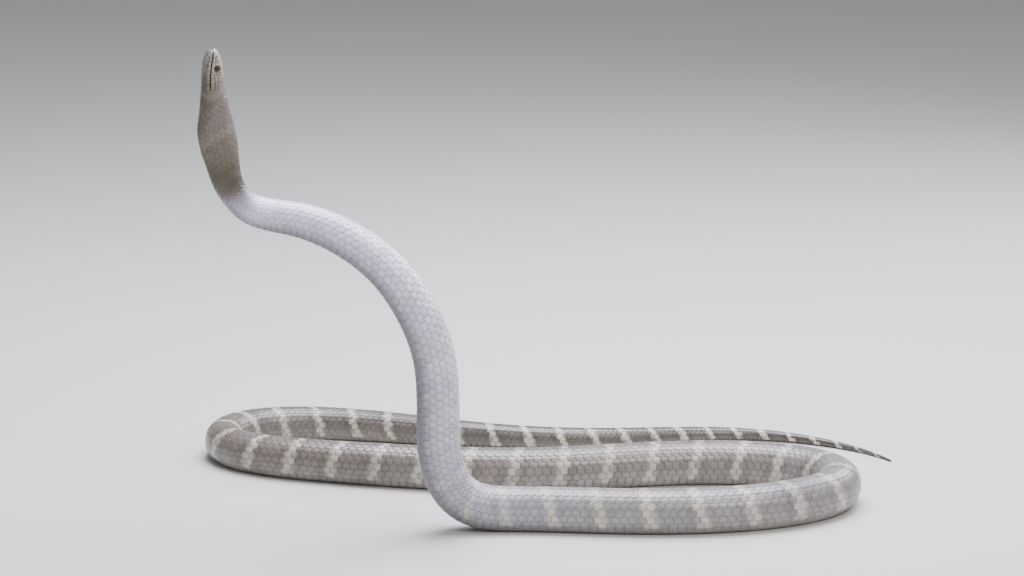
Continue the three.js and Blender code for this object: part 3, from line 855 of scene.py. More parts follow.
@dataclass(frozen=True)
class ScaleShape:
    """One smooth scale over its pitch: leaf-shaped, its root sunk and its rear edge raised."""

    # How much blunter the leaf is along the scale, and across it.
    ALONG_POWER = 1.25
    ACROSS_POWER = 1.6
    # The foot's outline, as a share of the rim's.
    FOOT_SHARE = 0.985
    # As shares of the way to the rim: where its rounding begins, and its darker edge.
    ROUNDING = 0.86
    SHADE = 0.62
    # How dark the edge is at the root, against the tip, and where along the scale that changes.
    ROOT_SHADE = 0.45
    SHADE_CHANGE = (-0.6, 0.6)

    length: float = 1.5
    width: float = 1.26
    bluntness: float = 0.66
    root: float = -0.30
    tip: float = 0.5
    crown: float = 0.26
    edge_drop: float = 0.2
    foot: float = -0.5

    def outline(self, points: int) -> tuple:
        """A closed leaf: a = cos and b = sin of the angle, each raised to the bluntness.

        Args:
            points: the number of points.

        Returns:
            a from -1 at the root to 1 at the tip, and b from -1 to 1 across.
        """
        angle = np.arange(points) / points * 2 * math.pi
        cos, sin = np.cos(angle), np.sin(angle)
        a = np.sign(cos) * np.abs(cos) ** (self.bluntness * self.ALONG_POWER)
        b = np.sign(sin) * np.abs(sin) ** (self.bluntness * self.ACROSS_POWER)
        return a, b

    def lay(self, centre: np.ndarray, turn: np.ndarray, pitch: np.ndarray, half_turn: np.ndarray,
            grid: PlateGrid, spread: tuple) -> Plates:
        """Lay scales on the body.

        Args:
            centre: station of each scale's middle.
            turn: angle of each scale's middle, in radians.
            pitch: distance to the next scale behind.
            half_turn: half the angle between rows, in radians.
            grid: the scales' grid.
            spread: the first and last station of the piece, over which its unwrap runs.

        Returns:
            The plates.
        """
        a, b = self.outline(grid.points)
        radii = np.array(grid.radii)
        along = np.concatenate([[0], np.outer(radii, a).ravel(), a * self.FOOT_SHARE, [0]])
        across = np.concatenate([[0], np.outer(radii, b).ravel(), b * self.FOOT_SHARE, [0]])
        rings = np.repeat(np.concatenate([radii, [1.0]]), grid.points)
        edge = np.concatenate([[0], rings, [1]])
        tilt = self.root + (self.tip - self.root) * (along + 1) / 2
        height = tilt + self.crown * (1 - across ** 2) * (1 - edge ** 3)
        height = height - self.edge_drop * smoothstep(self.ROUNDING, 1.0, edge)
        sunk = np.arange(len(along)) > len(radii) * grid.points
        height = np.where(sunk, self.foot, height)
        stations = centre[:, None] + along[None] * pitch[:, None] * self.length / 2
        turns = turn[:, None] + across[None] * half_turn[:, None] * self.width
        first, last = spread
        root = UV_MARGIN + UV_SHARE * (centre[:, None] - first) / (last - first)
        u = root + along[None] * UV_PATCH / 2
        v = 0.5 + turn[:, None] / (2 * math.pi) * UV_SHARE + across[None] * UV_PATCH / 2
        depth = SmoothTable(SKIN_DEPTH)(stations)[..., 0]
        raised = height[None] * relief_size(pitch)[:, None] - depth
        rear = self.ROOT_SHADE + (1 - self.ROOT_SHADE) * smoothstep(*self.SHADE_CHANGE, along)
        shade = smoothstep(self.SHADE, 1.0, edge) * rear
        edge_values = np.broadcast_to(shade[None], stations.shape)
        return Plates(np.clip(stations, 0, LENGTH - 0.2), turns, raised, edge_values,
                      np.stack([u, v], axis=-1))


class ScaleRows:
    """Oblique rows of overlapping scales, set half a pitch apart in turn, down the whole body."""

    PITCH = ((42, 4.4), (70, 5.6), (110, 7.2), (250, 8.4), (500, 10.2), (900, 11.2), (2300, 11.2),
             (2720, 9), (3100, 6.6), (3400, 4.2))
    GRID = PlateGrid((0.42, 0.74, 0.92, 1.0), 14)
    FIRST = 42.0
    LAST = 3396.0
    VENTRAL_EDGE = math.radians(124)
    CHEEK_START = 43.5
    CORNER_REACH = 3.6
    # How far a scale's share in a band strays, and how much the band counts over a whole scale and
    # from point to point within it.
    STRAY = 1.6
    WHOLE, WITHIN = 0.55, 0.45
    GRID_STEP = 0.5
    # Station where each count of rows begins.
    ROW_COUNTS = ((42, 17), (285, 15), (2720, 11), (2880, 9), (3030, 7), (3200, 5))
    # First and last station, name and slot of the pieces.
    STRETCHES = ((0, 245, "neck", "neck_scales"), (245, 760, "forebody", "forebody_scales"),
                 (760, 1420, "trunk_front", "trunk_scales"),
                 (1420, 2080, "trunk_middle", "trunk_scales"),
                 (2080, VENT, "trunk_rear", "trunk_scales"), (VENT, LENGTH, "tail", "tail_scales"))

    def __init__(self, surface: BodySurface, markings: Markings, shields: "HeadShields") -> None:
        """Count the cross rows that have passed at each station, by adding up pitches.

        Args:
            surface: the body's surface.
            markings: its bands.
            shields: the net of head shields, which the scales leave free.
        """
        self.surface = surface
        self.markings = markings
        self.shields = shields
        self.pitch = SmoothTable(self.PITCH)
        self.grid = np.arange(self.FIRST, LENGTH, self.GRID_STEP)
        self.passed = np.cumsum(self.GRID_STEP / self.pitch(self.grid)[:, 0])
        self.count = int(np.interp(self.LAST, self.grid, self.passed))

    def row_station(self, index: np.ndarray) -> np.ndarray:
        """Stations of cross rows by their number."""
        return np.interp(index, self.passed, self.grid)

    def places(self) -> tuple:
        """Set out the scales in rows and leave out those under shields or in the mouth's slit.

        Returns:
            Middle station, angle and half row angle of every scale, from the head to the tail tip.
        """
        index = np.arange(self.count)
        stations, turns, halves = [], [], []
        ends = [start for start, _ in self.ROW_COUNTS[1:]] + [LENGTH]
        for (start, rows), end in zip(self.ROW_COUNTS, ends):
            step = 2 * self.VENTRAL_EDGE / rows
            for row in range(rows):
                s = self.row_station(index + 0.5 * (row % 2))
                s = s[(s >= start) & (s < end + 0.5 * self.pitch(np.array(end)))]
                stations.append(s)
                turns.append(np.full(len(s), (row - (rows - 1) / 2) * step))
                halves.append(np.full(len(s), step / 2))
        s, turn, half = (np.concatenate(part) for part in (stations, turns, halves))
        head = s < FlatMap.END
        _, height, _, _ = self.surface.section(s, turn)
        from_mouth = np.abs(height - self.surface.mouth(s)[:, 0])
        slit = (s < self.surface.relief.mouth_corner) & (from_mouth < self.CORNER_REACH)
        keep = (s > self.CHEEK_START) & ~slit
        keep[head] &= ~self.shields.covers(s[head] + 0.5 * self.pitch(s[head])[:, 0], turn[head])
        order = np.argsort(s[keep])
        return s[keep][order], turn[keep][order], half[keep][order]

    def build(self, material: bpy.types.Material, random: np.random.Generator) -> None:
        """Make the scales as a few pieces, each a stretch of the body.

        Args:
            material: the scales' material.
            random: draws each scale's tone and stray.
        """
        s, turn, half = self.places()
        tone = random.uniform(-1, 1, len(s))
        strayed = s + random.normal(0, self.STRAY, len(s))
        band = self.markings.band(strayed, turn)
        for first, last, name, slot in self.STRETCHES:
            chosen = (s >= first) & (s < last)
            here = s[chosen]
            plates = ScaleShape().lay(here, turn[chosen], self.pitch(here)[:, 0], half[chosen],
                                      self.GRID, (max(first, self.FIRST), last))
            drawn = self.markings.band(plates.stations, plates.turns)
            mixed = self.WHOLE * band[chosen][:, None] + self.WITHIN * drawn
            piece = make_plates(f"scales_{name}", plates, self.GRID, self.surface,
                                {"tone": tone[chosen], "band": mixed})
            finish_piece(piece, material)


class BellyScutes:
    """Broad scutes across the belly from the throat to the vent, and paired ones under the tail."""

    HALF_TURNS = SmoothTable(((56, 24), (74, 46), (98, 62.5), (2720, 62.5)))
    ALONG = 6
    ACROSS = 30
    OVERLAP = 1.42
    FIRST = 58.0
    ROOT = -0.14
    TIP = 0.62
    FOOT = -0.5
    BOW = 0.16
    BOW_POWER = 8
    END_DROP = 0.3
    END_START = 0.8
    RIM_DROP = 0.16
    RIM_POWERS = (16, 9)
    TAIL_GRID = PlateGrid((0.5, 0.8, 0.94, 1.0), 16)
    TAIL_SHAPE = ScaleShape(length=1.42, width=1.1, bluntness=0.5)
    TAIL_HALF_TURN = math.radians(28.5)

    def __init__(self, surface: BodySurface, rows: ScaleRows) -> None:
        """Keep the surface and the rows that set the pitch."""
        self.surface = surface
        self.rows = rows

    @classmethod
    def half_turn(cls, s: np.ndarray) -> np.ndarray:
        """Half of the angle that a scute spans at a station, in radians."""
        return np.radians(cls.HALF_TURNS(s)[..., 0])

    def profile(self) -> tuple:
        """The sheet of one scute.

        The rear edge turns forward at the ends by a high power of the distance across, the height
        rises to the rear edge, and it drops at the ends and along the rim.

        Returns:
            Along from root to rear edge, across, height, and how near the rim each point is.
        """
        a = np.linspace(0, 1, self.ALONG)
        b = np.linspace(-1, 1, self.ACROSS)
        share, across = np.meshgrid(a, b, indexing="ij")
        along = share * (1 - self.BOW * np.abs(across) ** self.BOW_POWER)
        height = self.ROOT + (self.TIP - self.ROOT) * share
        height = height - self.END_DROP * share * smoothstep(self.END_START, 1.0, np.abs(across))
        at_ends, at_rear = self.RIM_POWERS
        rim = np.maximum(np.abs(across) ** at_ends, share ** at_rear)
        return along, across, height - self.RIM_DROP * rim, rim

    def faces(self, count: int) -> np.ndarray:
        """Quads of many scutes: the sheet, the same sheet turned over below it, and a wall between.

        Args:
            count: the number of scutes.

        Returns:
            Quads as an index array.
        """
        rows, columns = self.ALONG, self.ACROSS
        per = rows * columns
        i, j = np.meshgrid(np.arange(rows - 1), np.arange(columns - 1), indexing="ij")
        corner = (i * columns + j).ravel()
        sheet = np.stack([corner, corner + 1, corner + columns + 1, corner + columns], axis=-1)
        under = sheet[:, ::-1] + per
        loop = np.concatenate([
            np.arange(columns), np.arange(1, rows) * columns + columns - 1,
            (rows - 1) * columns + np.arange(columns - 2, -1, -1),
            np.arange(rows - 2, 0, -1) * columns])
        onward = np.roll(loop, -1)
        wall = np.stack([loop, loop + per, onward + per, onward], axis=-1)
        each = np.concatenate([sheet, under, wall])
        return (each[None] + (2 * per * np.arange(count))[:, None, None]).reshape(-1, 4)

    def build(self, material: bpy.types.Material, tail_material: bpy.types.Material,
              random: np.random.Generator) -> None:
        """Make the scutes and the paired scales under the tail.

        Args:
            material: the scutes' material.
            tail_material: the material of the scales under the tail.
            random: draws each plate's tone.
        """
        s = self.rows.row_station(np.arange(self.rows.count))
        belly = s[(s > self.FIRST) & (s < VENT - 6)]
        along, across, height, rim = self.profile()
        pitch = self.rows.pitch(belly)[:, 0]
        size = relief_size(pitch)[:, None, None]
        stations = belly[:, None, None] + (along[None] - 0.5) * pitch[:, None, None] * self.OVERLAP
        turns = math.pi + across[None] * self.half_turn(stations)
        depth = self.surface.depth(stations)[..., 0]
        raised = height[None] * size - depth
        top = self.surface.point(stations, turns, raised)
        foot = self.surface.point(stations, turns, self.FOOT * size - depth)
        count, per = len(belly), along.size
        quads = self.faces(count)
        points = np.concatenate([top.reshape(count, per, 3), foot.reshape(count, per, 3)], axis=1)
        both = [np.concatenate([part.reshape(count, per)] * 2, axis=1).ravel()
                for part in (stations, turns, np.broadcast_to(rim, stations.shape))]
        values = body_values(both[0], both[1])
        values["edge"] = both[2]
        values["tone"] = np.repeat(random.uniform(-1, 1, count), 2 * per)
        values["band"] = np.zeros(count * 2 * per)
        root = np.repeat((belly - self.FIRST) / (VENT - self.FIRST), 2 * per)
        u = UV_MARGIN + UV_SHARE * root + UV_PATCH * np.tile(along.ravel(), 2 * count)
        v = (both[1] / (2 * math.pi)) * UV_SHARE
        parts = MeshParts(points.reshape(-1, 3), quads, np.zeros((0, 3), int))
        piece = build_mesh("belly_scutes", parts, values, np.stack([u, v], axis=-1)[quads.ravel()])
        finish_piece(piece, material)
        self.build_tail(tail_material, random, s[(s >= VENT - 4) & (s < ScaleRows.LAST)])

    def build_tail(self, material: bpy.types.Material, random: np.random.Generator,
                   s: np.ndarray) -> None:
        """Make two rows of broad scales under the tail, which meet in a zigzag.

        Args:
            material: their material.
            random: draws each scale's tone.
            s: stations of the scales on the left; those on the right lie half a pitch behind.
        """
        side = np.repeat([1, -1], len(s))
        pitch = self.rows.pitch(s)[:, 0]
        centre = np.concatenate([s, s + pitch / 2])
        both = np.concatenate([pitch, pitch])
        half = np.full(len(centre), self.TAIL_HALF_TURN)
        turn = math.pi - side * half
        plates = self.TAIL_SHAPE.lay(centre, turn, both, half, self.TAIL_GRID, (VENT, LENGTH))
        plates = plates._replace(uv=plates.uv * np.array(UV_UNDERSIDE))
        tone = random.uniform(-1, 1, len(centre))
        piece = make_plates("scales_under_tail", plates, self.TAIL_GRID, self.surface,
                            {"tone": tone, "band": np.zeros(len(centre))})
        finish_piece(piece, material)


class Measure(Enum):
    """How a corner of a head shield is measured."""

    CROWN = "station and distance from the middle, on top"
    SIDE = "station and height above the belly line"
    LIP = "station and height above the mouth's line"
    THROAT = "station and distance from the middle, under the jaw"
    EYE = "degrees round the eye, 0 behind it and 90 above it, and distance from its middle"
    NOSTRIL = "degrees round the nostril, as for the eye, and share of its radius"


class Laid(Enum):
    """How a shield's outline is laid flat."""

    FROM_BACK = "round the section from the middle of the back"
    FROM_BELLY = "round the section from the middle of the belly"
    FROM_FRONT = "as seen from the front"


# The net of shield corners on the snake's left; shields that touch share their corners. Along the
# mouth, only the stations differ.
CROWN, SIDE, LIP, THROAT, EYE, NOSTRIL = Measure
LIP_EDGE = 0.5
UPPER_LIP = (1.7, 6.6, 11.6, 18.2, 24.8, 32, 40, 46.4)
LOWER_LIP = (2.2, 6.2, 11, 16.6, 23.2, 29, 34.8, 41, 46.4)
CORNERS: dict = {
    **{f"lip_{n}": (LIP, station, LIP_EDGE) for n, station in enumerate(UPPER_LIP)},
    **{f"low_{n}": (LIP, station, -LIP_EDGE) for n, station in enumerate(LOWER_LIP)},
    "nose": (CROWN, 3.0, 0), "nose_side": (CROWN, 2.3, 3.7),
    "inter_rear": (CROWN, 9.2, 0), "inter_wing": (CROWN, 8.8, 4.0), "inter_corner": (CROWN, 8.3, 7.6),
    "fore_corner": (CROWN, 10.6, 9.4), "brow_front": (CROWN, 14.6, 10.2),
    "frontal_front": (CROWN, 16.4, 0), "frontal_corner": (CROWN, 15.3, 5.0),
    "frontal_waist": (CROWN, 20.2, 5.4), "frontal_flank": (CROWN, 25.8, 4.5),
    "frontal_rear": (CROWN, 29.6, 0),
    "brow_eye_front": (EYE, 140, 3.9), "brow_eye_top": (EYE, 92, 3.3), "brow_eye_rear": (EYE, 42, 3.9),
    "brow_rear": (CROWN, 26.4, 12.2),
    "parietal_front": (CROWN, 29.0, 13.6), "parietal_side": (CROWN, 36.6, 14.4),
    "parietal_rear": (CROWN, 41.6, 12.2), "parietal_bay": (CROWN, 43.4, 6.6),
    "parietal_end": (CROWN, 43.0, 0),
    "occipital_side": (CROWN, 45.6, 14.0), "occipital_corner": (CROWN, 50.6, 12.4),
    "occipital_rear": (CROWN, 54.2, 6.6), "occipital_end": (CROWN, 53.6, 0),
    "nose_low": (SIDE, 1.9, 10.9), "nostril_top": (SIDE, 4.9, 15.3), "nostril_low": (SIDE, 5.1, 11.4),
    "nostril_up": (NOSTRIL, 96, 1), "nostril_fore_up": (NOSTRIL, 140, 1),
    "nostril_fore": (NOSTRIL, 180, 1), "nostril_fore_down": (NOSTRIL, 225, 1),
    "nostril_down": (NOSTRIL, 264, 1), "nostril_aft": (NOSTRIL, 0, 0.85),
    "lip_top_1": (SIDE, 6.9, 11.8), "nasal_low": (SIDE, 10.8, 12.1), "nasal_rear": (SIDE, 10.5, 14.4),
    "eye_front_high": (EYE, 163, 3.85), "eye_front": (EYE, 188, 3.9), "eye_front_low": (EYE, 212, 3.9),
    "eye_below_front": (EYE, 230, 3.9), "eye_low": (EYE, 250, 3.9), "eye_low_rear": (EYE, 290, 3.9),
    "eye_rear_low": (EYE, 325, 3.9), "eye_rear": (EYE, -4, 3.95), "eye_rear_high": (EYE, 20, 4.0),
    "post_low": (SIDE, 27.5, 12.1), "post_middle": (SIDE, 28.0, 14.9), "post_high": (SIDE, 27.6, 18.1),
    "temple_front": (SIDE, 29.6, 18.6), "temple_middle": (SIDE, 37.4, 19.6),
    "temple_rear": (SIDE, 46.4, 19.8), "temple_back": (SIDE, 47.4, 23.4),
    "cheek_front": (SIDE, 31.3, 13.4), "cheek_middle": (SIDE, 37.6, 15.4),
    "cheek_low": (SIDE, 39.8, 15.8), "cheek_rear": (SIDE, 47.0, 16.4),
    "lip_end": (LIP, 49.2, 0.25), "low_end": (LIP, 49.2, -0.25),
    "jaw_1": (LIP, 6.4, -3.4), "jaw_2": (LIP, 11.2, -4.2), "jaw_3": (LIP, 17, -4.8),
    "jaw_4": (LIP, 23.6, -5.2), "jaw_5": (LIP, 29.3, -5.3), "jaw_6": (LIP, 35.2, -5.3),
    "jaw_7": (LIP, 41.4, -5.2), "jaw_8": (LIP, 48.2, -4.9),
    "rostral_low": (THROAT, 0.66, 0), "mental_top": (THROAT, 1.3, 0),
    "chin_tip": (THROAT, 4.9, 0), "chin_tip_side": (THROAT, 3.7, 2.9),
    "chin_front": (THROAT, 8.6, 0), "chin_waist": (THROAT, 21.4, 0),
    "chin_waist_side": (THROAT, 20.8, 5.0), "chin_inner": (THROAT, 30.5, 1.3),
    "chin_end": (THROAT, 36, 5.4), "chin_outer": (THROAT, 33, 10.4),
}


@dataclass(frozen=True)
class HeadShield:
    """One shield by the names of its corners in order, or a pair alike on both sides.

    A mirrored shield crosses the middle: its corners run on to their mirror images.
    """

    corners: str
    mirrored: bool = False
    laid: Laid = Laid.FROM_BACK
    crown: float = 0.32


SHIELDS: dict = {
    "rostral": HeadShield(
        "nose nose_side nose_low lip_0 rostral_low", mirrored=True, laid=Laid.FROM_FRONT),
    "internasal": HeadShield("nose nose_side nostril_top inter_corner inter_wing inter_rear"),
    "prefrontal": HeadShield(
        "inter_rear inter_wing inter_corner fore_corner brow_front frontal_corner frontal_front"),
    "frontal": HeadShield(
        "frontal_front frontal_corner frontal_waist frontal_flank frontal_rear", mirrored=True),
    "supraocular": HeadShield(
        "frontal_corner brow_front brow_eye_front brow_eye_top brow_eye_rear brow_rear "
        "frontal_flank frontal_waist", crown=0.5),
    "parietal": HeadShield(
        "frontal_rear frontal_flank brow_rear parietal_front parietal_side parietal_rear "
        "parietal_bay parietal_end", crown=0.4),
    "occipital": HeadShield(
        "parietal_end parietal_bay parietal_rear occipital_side occipital_corner occipital_rear "
        "occipital_end", crown=0.4),
    "prenasal": HeadShield(
        "nose_side nostril_top nostril_up nostril_fore_up nostril_fore nostril_fore_down "
        "nostril_down nostril_low nose_low", crown=0.12),
    "postnasal": HeadShield(
        "nostril_top inter_corner fore_corner nasal_rear nasal_low lip_top_1 nostril_low "
        "nostril_down nostril_aft nostril_up", crown=0.12),
    "preocular": HeadShield(
        "fore_corner brow_front brow_eye_front eye_front_high eye_front eye_front_low nasal_low "
        "nasal_rear"),
    "postocular_upper": HeadShield("brow_eye_rear brow_rear post_high eye_rear_high"),
    "postocular_middle": HeadShield("eye_rear_high post_high post_middle eye_rear"),
    "postocular_lower": HeadShield("eye_rear post_middle post_low eye_rear_low"),
    "temporal_upper_1": HeadShield(
        "brow_rear parietal_front parietal_side temple_middle temple_front post_high"),
    "temporal_upper_2": HeadShield(
        "parietal_side parietal_rear occipital_side temple_back temple_rear temple_middle"),
    "temporal_lower_1": HeadShield(
        "post_high temple_front temple_middle cheek_middle cheek_front post_low post_middle"),
    "temporal_lower_2": HeadShield("temple_middle temple_rear cheek_rear cheek_low cheek_middle"),
    "upper_lip_1": HeadShield("lip_0 lip_1 lip_top_1 nostril_low nose_low"),
    "upper_lip_2": HeadShield("lip_1 lip_2 nasal_low lip_top_1"),
    "upper_lip_3": HeadShield("lip_2 lip_3 eye_low eye_below_front eye_front_low nasal_low"),
    "upper_lip_4": HeadShield("lip_3 lip_4 eye_rear_low eye_low_rear eye_low"),
    "upper_lip_5": HeadShield("lip_4 lip_5 cheek_front post_low eye_rear_low"),
    "upper_lip_6": HeadShield("lip_5 lip_6 cheek_low cheek_middle cheek_front"),
    "upper_lip_7": HeadShield("lip_6 lip_7 lip_end cheek_rear cheek_low"),
    "mental": HeadShield(
        "mental_top low_0 chin_tip_side chin_tip", mirrored=True, laid=Laid.FROM_FRONT),
    "lower_lip_1": HeadShield(
        "low_0 low_1 jaw_1 chin_front chin_tip chin_tip_side", laid=Laid.FROM_BELLY),
    **{f"lower_lip_{n}": HeadShield(f"low_{n - 1} low_{n} jaw_{n} jaw_{n - 1}")
       for n in range(2, 8)},
    "lower_lip_8": HeadShield("low_7 low_8 low_end jaw_8 jaw_7"),
    "chin_front": HeadShield(
        "chin_front jaw_1 jaw_2 jaw_3 chin_waist_side chin_waist", laid=Laid.FROM_BELLY),
    "chin_rear": HeadShield(
        "chin_waist chin_waist_side jaw_3 jaw_4 chin_outer chin_end chin_inner",
        laid=Laid.FROM_BELLY),
}


class FlatMap:
    """The head laid flat: station against the distance round the section from the back's middle."""

    STEP = 0.5
    SPREAD = 361
    END = 100.0

    def __init__(self, surface: BodySurface) -> None:
        """Add up distances round each section, and turn each table round.

        Args:
            surface: the body's surface.
        """
        self.stations = np.arange(0.05, self.END, self.STEP)
        turns = np.linspace(0, math.pi, self.SPREAD)
        x, y, _, _ = surface.section(self.stations[:, None], turns[None])
        steps = np.hypot(np.diff(x, axis=1), np.diff(y, axis=1))
        self.reach = np.pad(np.cumsum(steps, axis=1), ((0, 0), (1, 0)))
        self.whole = self.reach[:, -1]
        shares = np.linspace(0, 1, self.SPREAD)
        self.turns = np.stack([np.interp(shares * row[-1], row, turns) for row in self.reach])

    def read(self, table: np.ndarray, s: np.ndarray, share: np.ndarray) -> np.ndarray:
        """Read a table between its four neighbours.

        Args:
            table: values by station and by share of the half turn, or of the half girth.
            s: stations.
            share: shares from 0 to 1.

        Returns:
            The values there.
        """
        row = np.clip((s - self.stations[0]) / self.STEP, 0, len(self.stations) - 1.001)
        column = np.clip(share * (self.SPREAD - 1), 0, self.SPREAD - 1.001)
        i, j = row.astype(int), column.astype(int)
        a, b = row - i, column - j
        near = table[i, j] * (1 - b) + table[i, j + 1] * b
        far = table[i + 1, j] * (1 - b) + table[i + 1, j + 1] * b
        return near * (1 - a) + far * a

    def girth(self, s: np.ndarray) -> np.ndarray:
        """Distance from the middle of the back to the middle of the belly."""
        return np.interp(s, self.stations, self.whole)

    def lay(self, s: np.ndarray, turn: np.ndarray) -> np.ndarray:
        """Signed distance round the section of an angle between minus and plus a half turn."""
        return np.sign(turn) * self.read(self.reach, s, np.abs(turn) / math.pi)

    def lift(self, s: np.ndarray, distance: np.ndarray) -> np.ndarray:
        """The angle at a signed distance round the section."""
        return np.sign(distance) * self.read(self.turns, s, np.abs(distance) / self.girth(s))


def turned_area(path: np.ndarray) -> float:
    """Twice the area that a closed path goes round anticlockwise."""
    onward = np.roll(path, -1, axis=0)
    return float(np.sum(path[:, 0] * onward[:, 1] - onward[:, 0] * path[:, 1]))


def shrunk(path: np.ndarray, gap: float) -> np.ndarray:
    """Move an outline inward: each corner goes to where its two moved sides meet.

    Args:
        path: corners in anticlockwise order.
        gap: how far the sides move.

    Returns:
        The moved corners.
    """
    side = unit(np.roll(path, -1, axis=0) - path)
    inward = np.stack([-side[:, 1], side[:, 0]], axis=-1)
    before = np.roll(inward, 1, axis=0)
    middle = inward + before
    scale = 2 / np.maximum(np.sum(middle * middle, axis=-1, keepdims=True), 0.8)
    return path + gap * middle * scale


def softened(path: np.ndarray, radius: float, count: int) -> np.ndarray:
    """Round each corner with a parabola and space points evenly round the outline.

    Args:
        path: corners in order.
        radius: how far from a corner its rounding starts, at most.
        count: the number of points.

    Returns:
        The points.
    """
    before = np.roll(path, 1, axis=0) - path
    after = np.roll(path, -1, axis=0) - path
    shorter = np.minimum(np.linalg.norm(before, axis=-1), np.linalg.norm(after, axis=-1))
    cut = np.minimum(radius, 0.42 * shorter)[:, None]
    t = np.linspace(0, 1, 5)[:, None, None]
    start, end = path + unit(before) * cut, path + unit(after) * cut
    curve = (1 - t) ** 2 * start + 2 * t * (1 - t) * path + t ** 2 * end
    points = curve.transpose(1, 0, 2).reshape(-1, 2)
    closed = np.vstack([points, points[:1]])
    passed = np.concatenate([[0], np.cumsum(np.linalg.norm(np.diff(closed, axis=0), axis=1))])
    wanted = np.arange(count) / count * passed[-1]
    return np.stack([np.interp(wanted, passed, closed[:, k]) for k in range(2)], axis=-1)


def inside(points: np.ndarray, path: np.ndarray) -> np.ndarray:
    """Test points against a closed outline, by counting the sides that a level line passes.

    Args:
        points: rows of x and y.
        path: corners in order.

    Returns:
        Whether each point is within.
    """
    x, y = points[:, None, 0], points[:, None, 1]
    onward = np.roll(path, -1, axis=0)
    run, rise = (onward - path).T
    crossing = path[:, 0] + (y - path[:, 1]) / np.where(rise == 0, 1, rise) * run
    spans = (path[:, 1] > y) != (onward[:, 1] > y)
    return np.sum(spans & (x < crossing), axis=1) % 2 == 1


